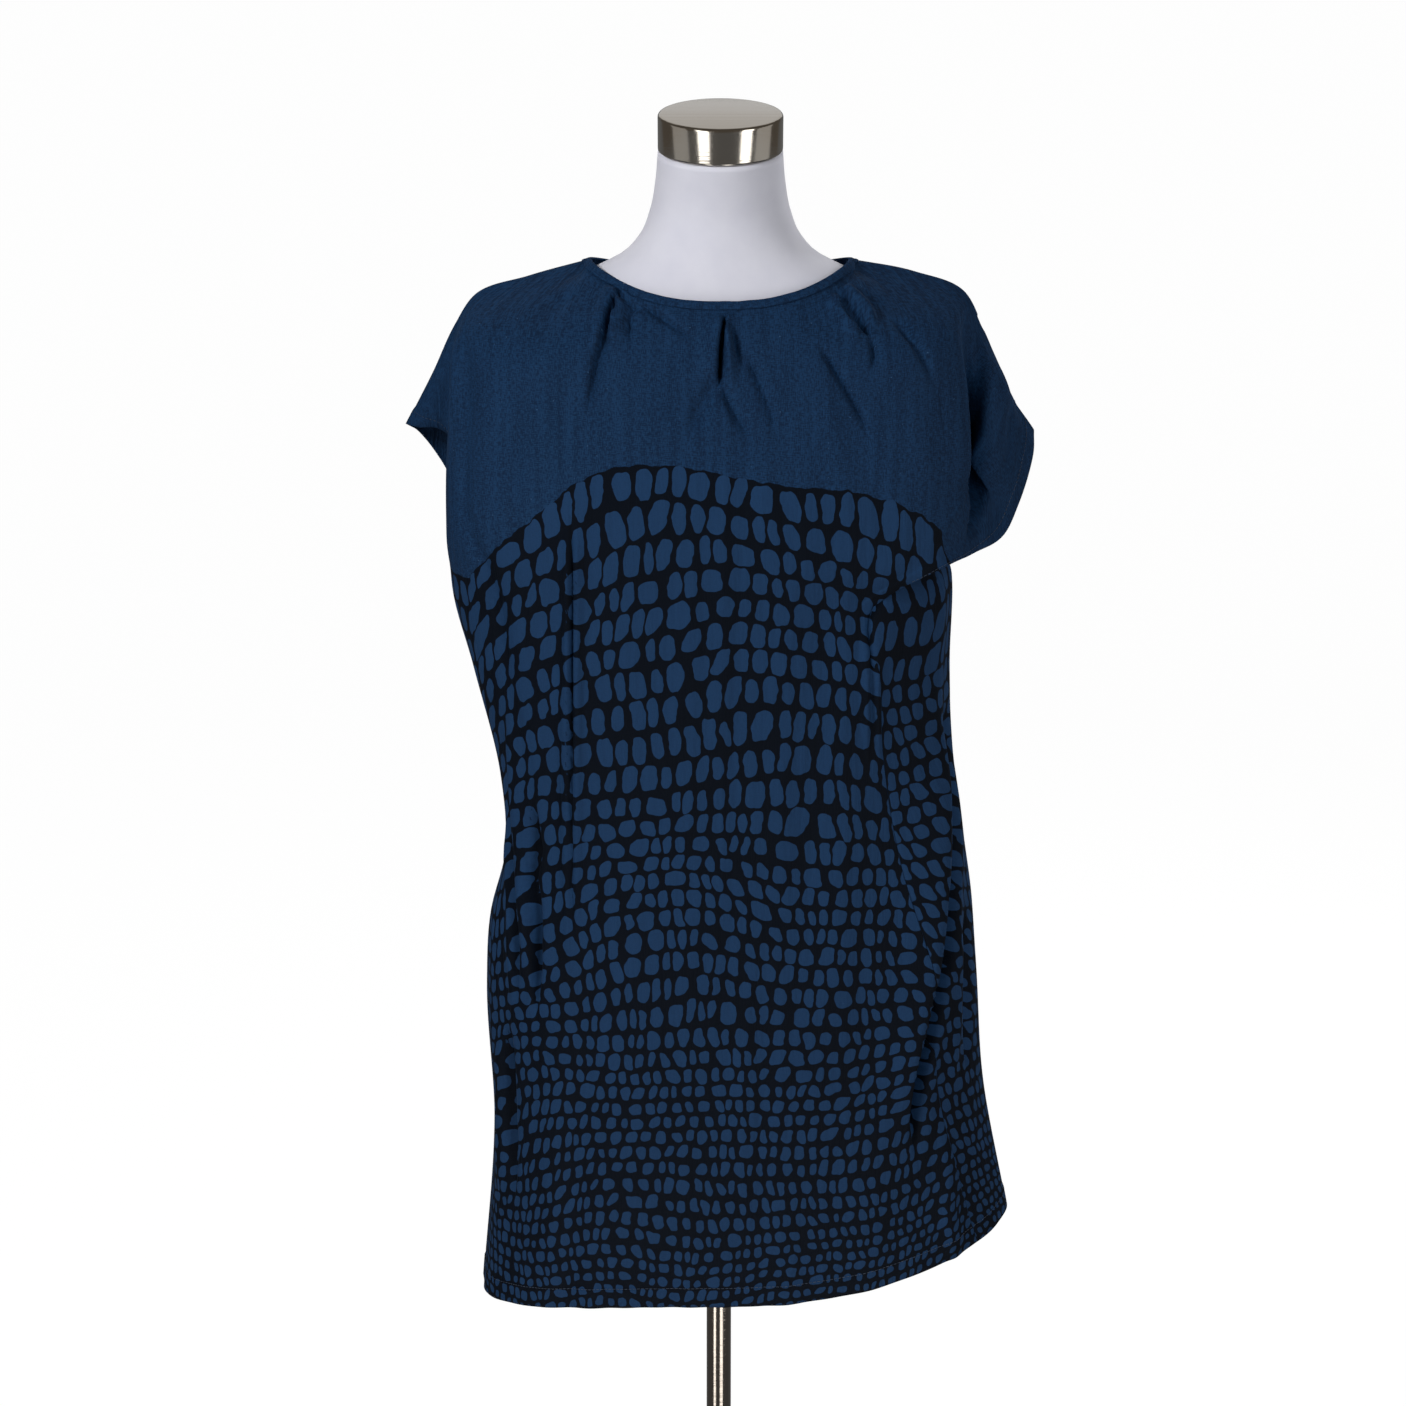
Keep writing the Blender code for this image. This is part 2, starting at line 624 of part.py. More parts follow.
def tube_of(bm, rings, closed_ends=True, closed_loop=False):
    """Faces between rings of equal count, with filled ends or joined round as a loop."""
    loops = [[bm.verts.new(point) for point in ring] for ring in rings]
    pairs = list(zip(loops, loops[1:]))
    if closed_loop:
        pairs.append((loops[-1], loops[0]))
    for lower, upper in pairs:
        for k in range(len(lower)):
            j = (k + 1) % len(lower)
            bm.faces.new((lower[k], lower[j], upper[j], upper[k]))
    if closed_ends and not closed_loop:
        bm.faces.new(loops[0])
        bm.faces.new(loops[-1])


def outer_skin(grids):
    """The outer faces of both panels, to be searched for the place nearest to a point."""
    points, faces = [], []
    for grid, normal, _ in grids.values():
        first = len(points)
        rows, columns = grid.shape[:2]
        points += [Vector(point) for point in (grid + CLOTH * normal).reshape(-1, 3)]
        faces += [[first + r * columns + c for r, c in each] for each in triangles(rows, columns)]
    return BVHTree.FromPolygons(points, faces)


def neckline(grids):
    """Points and outward normals once round the neck's edge."""
    edges = []
    for panel in ("front", "back"):
        grid, normal, shares = grids[panel]
        middle = len(shares) - 1
        last = int(np.argmin(np.abs(shares - NECK_SHARE)))
        columns = list(range(middle - last, middle + last + 1))
        columns = columns if panel == "front" else columns[::-1]
        edges.append(np.stack([grid[0, columns], normal[0, columns]], 1))
    front, back = edges
    at_right, at_left = 0.5 * (front[-1] + back[0]), 0.5 * (front[0] + back[-1])
    ring = np.concatenate([[at_left], front[1:-1], [at_right], back[1:-1]])
    finer = np.stack([ring, 0.5 * (ring + np.roll(ring, -1, 0))], 1).reshape(-1, 2, 3)
    return finer[:, 0], unit(finer[:, 1])


def evened(rows):
    """Each row averaged with its neighbours, round a closed ring."""
    for _ in range(EVENING):
        rows = 0.5 * rows + 0.25 * (np.roll(rows, 1, 0) + np.roll(rows, -1, 0))
    return rows


def binding_rings(grids):
    """Profiles of the neck binding: a strip that lies on the panels and turns in over their edge."""
    skin = outer_skin(grids)
    edges, outs = neckline(grids)
    tangents = unit(np.roll(edges, -1, 0) - np.roll(edges, 1, 0))
    outs = unit(outs - (outs * tangents).sum(1)[:, None] * tangents)
    aways = np.cross(tangents, outs)
    places, normals_there = [], []
    for width in (0.5 * BINDING_WIDTH, BINDING_WIDTH):
        found = [skin.find_nearest(Vector(p)) for p in edges + width * aways + CLOTH * outs]
        places.append(np.array([each[0] for each in found]))
        facing = np.array([each[1] for each in found])
        normals_there.append(unit(evened(facing * np.sign((facing * outs).sum(1))[:, None])))
    lie, top = BINDING_GAP, BINDING_GAP + BINDING_CLOTH
    middle, outer = zip(places, normals_there)
    rings = [
        outer[0] + top * outer[1],
        middle[0] + top * middle[1],
        edges + (CLOTH + top) * outs,
        edges - top * aways + (CLOTH + lie) * outs,
        edges - top * aways - PIECE_GAP * outs,
        edges - PIECE_GAP * aways - PIECE_GAP * outs,
        edges - PIECE_GAP * aways + (CLOTH + lie) * outs,
        middle[0] + lie * middle[1],
        outer[0] + lie * outer[1],
    ]
    return np.stack(rings, 1)


def form_ring(section):
    """Points round one section of the form, tipped forward by its lean."""
    turn = np.linspace(0, 2 * math.pi, ROUND_STEPS, endpoint=False)
    power = 2 / section.square
    x = section.half_width * np.sign(np.cos(turn)) * np.abs(np.cos(turn)) ** power
    middle = 0.5 * (section.back - section.front)
    deep = 0.5 * (section.back + section.front)
    if section.lean == 0:
        y = np.sign(np.sin(turn)) * np.abs(np.sin(turn)) ** power
        y = np.where(y < 0, y * section.front, y * section.back)
        return np.stack([x, y, np.full_like(x, section.level)], 1)
    lean = math.radians(section.lean)
    y = deep * np.sin(turn)
    return np.stack([x, middle + y * math.cos(lean), section.level + y * math.sin(lean)], 1)


def torso(bm):
    """The form's body and neck, with a socket for the pole in its underside."""
    rings = [form_ring(s) for s in FORM_SECTIONS]
    underside = rings[0] * np.array([FORM_EDGE_SHARE, FORM_EDGE_SHARE, 1])
    rings.insert(0, underside - np.array([0, 0, FORM_EDGE]))
    tube_of(bm, rings)


def pole_socket(radius, top, bottom):
    """A cutter, left out of the model, that makes the pole's socket."""
    bpy.ops.mesh.primitive_cylinder_add(
        vertices=ROUND_STEPS, radius=radius, depth=top - bottom, location=(0, 0, 0.5 * (top + bottom))
    )
    cutter = bpy.context.object
    cutter.name = "pole_socket_cutter"
    cutter.hide_render = True
    cutter.display_type = "WIRE"
    return cutter


def build_form():
    """The display form's body with the pole's socket cut in."""
    body = object_of("form_body", torso, material("white jersey", WHITE, 0.90))
    socket_top = FORM_BOTTOM + POLE_SOCKET
    cutter = pole_socket(POLE_RADIUS + POLE_ROOM, socket_top, FORM_BOTTOM - 2 * FORM_EDGE)
    cut = body.modifiers.new("socket", "BOOLEAN")
    cut.object = cutter
    cut.operation = "DIFFERENCE"
    cut.solver = "EXACT"


def build_neck_cap():
    """The cap that closes the neck, square to the neck's own tilt."""
    top = FORM_SECTIONS[-1]
    tilt = math.radians(top.lean)
    up = np.array([0, -math.sin(tilt), math.cos(tilt)])
    neck_top = np.array([0, 0.5 * (top.back - top.front), top.level])
    seat = neck_top + up * (PIECE_GAP + 0.5 * CAP_HEIGHT)
    bpy.ops.mesh.primitive_cylinder_add(
        vertices=ROUND_STEPS, radius=NECK_RADIUS, depth=CAP_HEIGHT, location=seat
    )
    cap = bpy.context.object
    cap.name = "neck_cap"
    cap.rotation_euler = (tilt, 0, 0)
    cap.data.materials.append(material("polished neck cap", STEEL, 0.15, 1.0))
    bevel = cap.modifiers.new("rounded edges", "BEVEL")
    bevel.width = CAP_EDGE
    bevel.segments = 2
    bevel.limit_method = "ANGLE"
    smooth_round(cap)


def smooth_round(made):
    """Shades an object's round sides smooth and keeps its edges crisp."""
    made.data.shade_smooth()
    made.data.set_sharp_from_angle(angle=math.radians(CRISP_ANGLE))


def build_pole():
    """The pole, from the base's socket up into the form's."""
    top = FORM_BOTTOM + POLE_SOCKET - PIECE_GAP
    foot = SOCKET_FLOOR + PIECE_GAP
    bpy.ops.mesh.primitive_cylinder_add(
        vertices=ROUND_STEPS, radius=POLE_RADIUS, depth=top - foot, location=(0, 0, 0.5 * (top + foot))
    )
    pole = bpy.context.object
    pole.name = "pole"
    pole.data.materials.append(material("polished pole", STEEL, 0.15, 1.0))
    smooth_round(pole)


def build_base():
    """A turned round base with a low crown and a boss that holds the pole."""
    bore = POLE_RADIUS + POLE_ROOM
    profile = [
        (bore, SOCKET_FLOOR),
        (bore, BOSS_TOP),
        (BOSS_RADIUS - BOSS_EDGE, BOSS_TOP),
        (BOSS_RADIUS, BOSS_TOP - BOSS_EDGE),
        (BOSS_RADIUS, BASE_CROWN + BOSS_FOOT),
        (BOSS_RADIUS + BOSS_FOOT, BASE_CROWN),
        (BASE_SHOULDER_SHARE * BASE_RADIUS, BASE_CROWN - BOSS_EDGE),
        (BASE_RADIUS - BASE_RIM, BASE_EDGE),
        (BASE_RADIUS, BASE_EDGE - BASE_RIM),
        (BASE_RADIUS, 0.0),
    ]

    def turned(bm):
        turn = np.linspace(0, 2 * math.pi, ROUND_STEPS, endpoint=False)
        tube_of(bm, [[(r * math.cos(a), r * math.sin(a), z) for a in turn] for r, z in profile])

    object_of("base", turned, material("satin base", STEEL, 0.30, 1.0))


def build_tunic():
    """Front, back and neck binding."""
    grids = tunic_grids()
    for name in ("front", "back"):
        grid, normal, _ = grids[name]
        cloth = material("viscose " + name, NAVY, 0.85)
        object_of(name + "_panel", lambda bm, g=grid, n=normal: wall(bm, g, n, CLOTH), cloth)
    cloth = material("viscose binding", NAVY, 0.85)
    object_of("neck_binding", lambda bm: tube_of(bm, binding_rings(grids), closed_loop=True), cloth)


def main():
    for old in list(bpy.data.objects):
        bpy.data.objects.remove(old)
    build_tunic()
    build_form()
    build_neck_cap()
    build_pole()
    build_base()


main()
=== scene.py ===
"""Dresses a short-sleeved tunic top on its limbless display form, with floor, light and camera.

Metres, +Z up. The garment's front faces -Y, and its right-hand side in a front view is +X.
The cloth is cut as two panels with grown-on cap sleeves and a narrow neck binding. Each panel is a
thin wall lofted through level sections, then creased by listed troughs and ridges.
"""

import logging
import math
from dataclasses import dataclass, field
from enum import Enum
from typing import Any, Callable, Iterable, Sequence

import bmesh
import bpy
import numpy as np
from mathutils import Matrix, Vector
from mathutils.bvhtree import BVHTree


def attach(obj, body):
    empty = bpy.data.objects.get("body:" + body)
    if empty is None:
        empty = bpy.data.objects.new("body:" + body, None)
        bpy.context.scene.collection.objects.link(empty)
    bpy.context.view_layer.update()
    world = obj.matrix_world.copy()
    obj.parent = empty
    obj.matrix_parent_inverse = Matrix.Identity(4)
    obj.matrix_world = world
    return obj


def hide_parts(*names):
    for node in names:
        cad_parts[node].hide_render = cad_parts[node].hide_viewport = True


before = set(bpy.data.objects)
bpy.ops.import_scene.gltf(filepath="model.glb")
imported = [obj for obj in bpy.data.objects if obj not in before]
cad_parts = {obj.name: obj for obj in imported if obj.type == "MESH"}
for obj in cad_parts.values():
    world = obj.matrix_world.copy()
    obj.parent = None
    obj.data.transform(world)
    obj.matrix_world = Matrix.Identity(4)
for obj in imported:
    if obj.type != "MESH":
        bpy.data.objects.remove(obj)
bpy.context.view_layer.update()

LOG = logging.getLogger("tunic")
Grid = np.ndarray


class Panel(Enum):
    """The two cut panels of the tunic."""

    FRONT = "front"
    BACK = "back"


class Hand(Enum):
    """A side of the garment in a front view, by the sign of its x."""

    LEFT = -1
    RIGHT = 1


# ---- Curves -------------------------------------------------------------------------------------


def through(stations: Sequence[float], values: Any, where: Any) -> np.ndarray:
    """A smooth curve through values at rising stations.

    Args:
        stations: Rising places at which the values stand.
        values: One value or row of values for each station.
        where: Places to read, held inside the stations' span.

    Returns:
        The values read at those places.
    """
    stations = np.asarray(stations, float)
    values = np.asarray(values, float)
    step = np.diff(stations)
    slope = (np.diff(values, axis=0).T / step).T
    tangent = np.empty_like(values)
    tangent[0], tangent[-1] = slope[0], slope[-1]
    before, after = step[:-1], step[1:]
    share = (after / (before + after)).reshape((-1,) + (1,) * (values.ndim - 1))
    tangent[1:-1] = slope[:-1] * share + slope[1:] * (1 - share)
    where = np.clip(np.asarray(where, float), stations[0], stations[-1])
    k = np.clip(np.searchsorted(stations, where, side="right") - 1, 0, len(step) - 1)
    t = ((where - stations[k]) / step[k]).reshape((-1,) + (1,) * (values.ndim - 1))
    h = step[k].reshape(t.shape)
    return (
        values[k] * (1 + 2 * t) * (1 - t) ** 2
        + tangent[k] * h * t * (1 - t) ** 2
        + values[k + 1] * t**2 * (3 - 2 * t)
        + tangent[k + 1] * h * t**2 * (t - 1)
    )


def run_of(points: np.ndarray) -> np.ndarray:
    """Length run along a polyline at each of its points."""
    return np.concatenate([[0], np.cumsum(np.linalg.norm(np.diff(points, axis=0), axis=1))])


def along(points: np.ndarray, shares: np.ndarray) -> np.ndarray:
    """Points of a polyline at shares of its own length."""
    run = run_of(points)
    return np.stack([np.interp(shares * run[-1], run, points[:, i]) for i in range(3)], 1)


def smooth_line(points: np.ndarray, count: int = 96) -> np.ndarray:
    """A dense smooth polyline through a few points."""
    run = run_of(points)
    return through(run, points, np.linspace(0, run[-1], count))


def in_stretches(lines: Sequence[np.ndarray], bounds: Sequence[float], shares: np.ndarray) -> np.ndarray:
    """Reads a row made of several lines.

    Args:
        lines: The lines, in order.
        bounds: Shares at which the lines meet, one more than there are lines.
        shares: Shares to read.

    Returns:
        One point for each share.
    """
    row = np.zeros((len(shares), 3))
    for line, low, high in zip(lines, bounds, bounds[1:]):
        inside = (shares >= low) & (shares <= high)
        row[inside] = along(line, (shares[inside] - low) / (high - low))
    return row


def unit(vectors: np.ndarray) -> np.ndarray:
    """Vectors at length one."""
    return vectors / np.maximum(np.linalg.norm(vectors, axis=-1, keepdims=True), 1e-12)


# ---- The tunic's cut ----------------------------------------------------------------------------


@dataclass(frozen=True)
class Section:
    """A level section of the tunic. Reaches and depths are measured from the pole's axis."""

    name: str
    level: float
    front: float
    back: float
    left: float
    right: float
    left_fold: float
    right_fold: float
    spread: float
    left_drop: float
    right_drop: float
    square: float
    left_seam: float
    right_seam: float


@dataclass(frozen=True)
class Point:
    """A named point of a line: how far out it lies, how far behind the axis, and how high."""

    name: str
    out: float
    behind: float
    level: float


SECTIONS = (
    Section("yoke", 1.335, 0.096, 0.088, 0.219, 0.199, -0.020, -0.032, 0.050, 0.002, 0.002, 2.3, 0, 0),
    Section("collarbone", 1.285, 0.116, 0.104, 0.223, 0.200, -0.034, -0.042, 0.076, 0.0, 0.0, 2.4, 0, 0),
    Section("chest", 1.235, 0.130, 0.110, 0.227, 0.204, -0.040, -0.046, 0.086, 0.0, 0.0, 2.5, 0, 0),
    Section("bust", 1.190, 0.137, 0.112, 0.228, 0.206, -0.042, -0.050, 0.082, 0.0, 0.0, 2.5, 0, 0),
    Section("sleeve hem", 1.158, 0.139, 0.112, 0.228, 0.207, -0.034, -0.042, 0.060, 0.0, 0.006, 2.5, 0, 0),
    Section("underarm", 1.126, 0.138, 0.112, 0.226, 0.194, -0.022, -0.020, 0.036, 0.0, -0.010, 2.4, 0, 0.140),
    Section("ribs", 1.060, 0.137, 0.112, 0.210, 0.194, -0.012, -0.014, 0.024, 0.003, -0.002, 2.5, 0, 0.142),
    Section("waist", 0.970, 0.135, 0.113, 0.188, 0.200, -0.010, -0.010, 0.024, 0.006, -0.005, 2.5, 0, 0.140),
    Section("belly", 0.900, 0.136, 0.117, 0.185, 0.209, -0.010, -0.010, 0.024, 0.010, -0.007, 2.5, 0, 0.136),
    Section("seat", 0.850, 0.138, 0.121, 0.198, 0.216, -0.010, -0.010, 0.024, 0.013, -0.009, 2.5, 0, 0.133),
    Section("hip", 0.790, 0.140, 0.125, 0.202, 0.221, -0.010, -0.010, 0.024, 0.016, -0.011, 2.5, 0, 0.128),
    Section("thigh", 0.670, 0.146, 0.134, 0.198, 0.229, -0.010, -0.010, 0.024, 0.024, -0.024, 2.4, 0, 0.116),
    Section("hem", 0.526, 0.153, 0.143, 0.210, 0.254, -0.010, -0.010, 0.024, 0.031, -0.044, 2.3, 0, 0.102),
)
TUCK = {
    Hand.LEFT: (0.022, 0.034, 0.038, 0.034, 0.020),
    Hand.RIGHT: (0.022, 0.034, 0.036, 0.014, 0.004),
}
SHOULDER_LINE = {
    Hand.LEFT: (
        Point("neck", 0.109, 0.000, 1.3965),
        Point("slope", 0.160, 0.002, 1.3825),
        Point("shoulder end", 0.206, 0.003, 1.3660),
        Point("drop", 0.2225, 0.003, 1.3415),
        Point("sleeve", 0.241, 0.003, 1.303),
        Point("tip", 0.265, 0.003, 1.2578),
    ),
    Hand.RIGHT: (
        Point("neck", 0.109, 0.000, 1.3965),
        Point("slope", 0.163, 0.002, 1.3860),
        Point("shoulder end", 0.205, 0.003, 1.3690),
        Point("drop", 0.220, 0.002, 1.341),
        Point("sleeve", 0.235, 0.001, 1.300),
        Point("tip", 0.266, 0.000, 1.254),
    ),
}
CUFF = {
    (Hand.LEFT, Panel.FRONT): (
        Point("yoke row", 0.2530, -0.006, 1.2563),
        Point("collarbone row", 0.2355, -0.006, 1.2552),
        Point("chest row", 0.2215, 0.000, 1.2410),
        Point("bust row", 0.2145, 0.004, 1.2070),
        Point("sleeve hem row", 0.2180, 0.000, 1.1620),
    ),
    (Hand.LEFT, Panel.BACK): (
        Point("yoke row", 0.2560, 0.024, 1.2480),
        Point("collarbone row", 0.2450, 0.036, 1.2310),
        Point("chest row", 0.2330, 0.042, 1.2080),
        Point("bust row", 0.2235, 0.034, 1.1810),
        Point("sleeve hem row", 0.222, 0.014, 1.153),
    ),
    (Hand.RIGHT, Panel.FRONT): (
        Point("yoke row", 0.2615, -0.018, 1.230),
        Point("collarbone row", 0.2495, -0.036, 1.197),
        Point("chest row", 0.2350, -0.050, 1.170),
        Point("bust row", 0.2085, -0.068, 1.159),
        Point("sleeve hem row", 0.176, -0.110, 1.151),
    ),
    (Hand.RIGHT, Panel.BACK): (
        Point("yoke row", 0.256, 0.030, 1.228),
        Point("collarbone row", 0.243, 0.040, 1.204),
        Point("chest row", 0.226, 0.030, 1.184),
        Point("bust row", 0.206, -0.006, 1.170),
        Point("sleeve hem row", 0.186, -0.062, 1.160),
    ),
}


@dataclass(frozen=True)
class Crease:
    """A soft ridge, or with a minus height a trough, along a curved line in a front view."""

    name: str
    path: tuple[tuple[float, float], ...]  # (x, level) from its top down
    left: float  # width of its left flank
    right: float  # width of its right flank
    height: float
    rise: float = 0.35  # share of its length over which it sets in
    fade: float = 0.45  # share of its length over which it dies out
    spread: float = 1.0  # its width at the low end against the top
    crisp: float = 2.0  # under 2 gives it a sharper crest
    over: float = 0.0  # how far its cloth is pushed to the right over its neighbour

    def shape(self, places: np.ndarray) -> np.ndarray:
        """The crease's form.

        Args:
            places: x and level of each point, any shape ending in 2.

        Returns:
            At each point 1 on its crest and 0 away from it.
        """
        knots = np.array(self.path)
        knots = np.column_stack([knots, np.zeros(len(knots))])
        line = smooth_line(knots, 40)[:, :2]
        run = run_of(np.column_stack([line, np.zeros(len(line))]))
        low, high = line.min(0), line.max(0)
        margin = 3.2 * max(self.left, self.right) * max(1.0, self.spread)
        near = np.all((places > low - margin) & (places < high + margin), axis=-1)
        lift = np.zeros(places.shape[:-1])
        spots = places[near]
        if not len(spots):
            return lift
        start, span = line[:-1], np.diff(line, axis=0)
        to = spots[:, None] - start
        share = np.clip((to * span).sum(-1) / (span**2).sum(-1), 0, 1)
        away = to - share[..., None] * span
        k = np.argmin((away**2).sum(-1), axis=1)
        rows = np.arange(len(spots))
        away, share = away[rows, k], share[rows, k]
        at = (run[k] + share * (run[k + 1] - run[k])) / run[-1]
        across = (span[k, 1] * away[:, 0] - span[k, 0] * away[:, 1]) / np.linalg.norm(span[k], axis=1)
        ends = smooth_step(at / self.rise) * smooth_step((1 - at) / self.fade)
        width = np.where(across > 0, self.left, self.right) * (1 + (self.spread - 1) * at) * (0.4 + 0.6 * ends)
        distance = np.linalg.norm(away, axis=1)
        lift[near] = ends * np.exp(-((distance / width) ** self.crisp))
        return lift


def smooth_step(share: np.ndarray) -> np.ndarray:
    """Goes from 0 to 1 with level ends."""
    held = np.clip(share, 0, 1)
    return held * held * (3 - 2 * held)


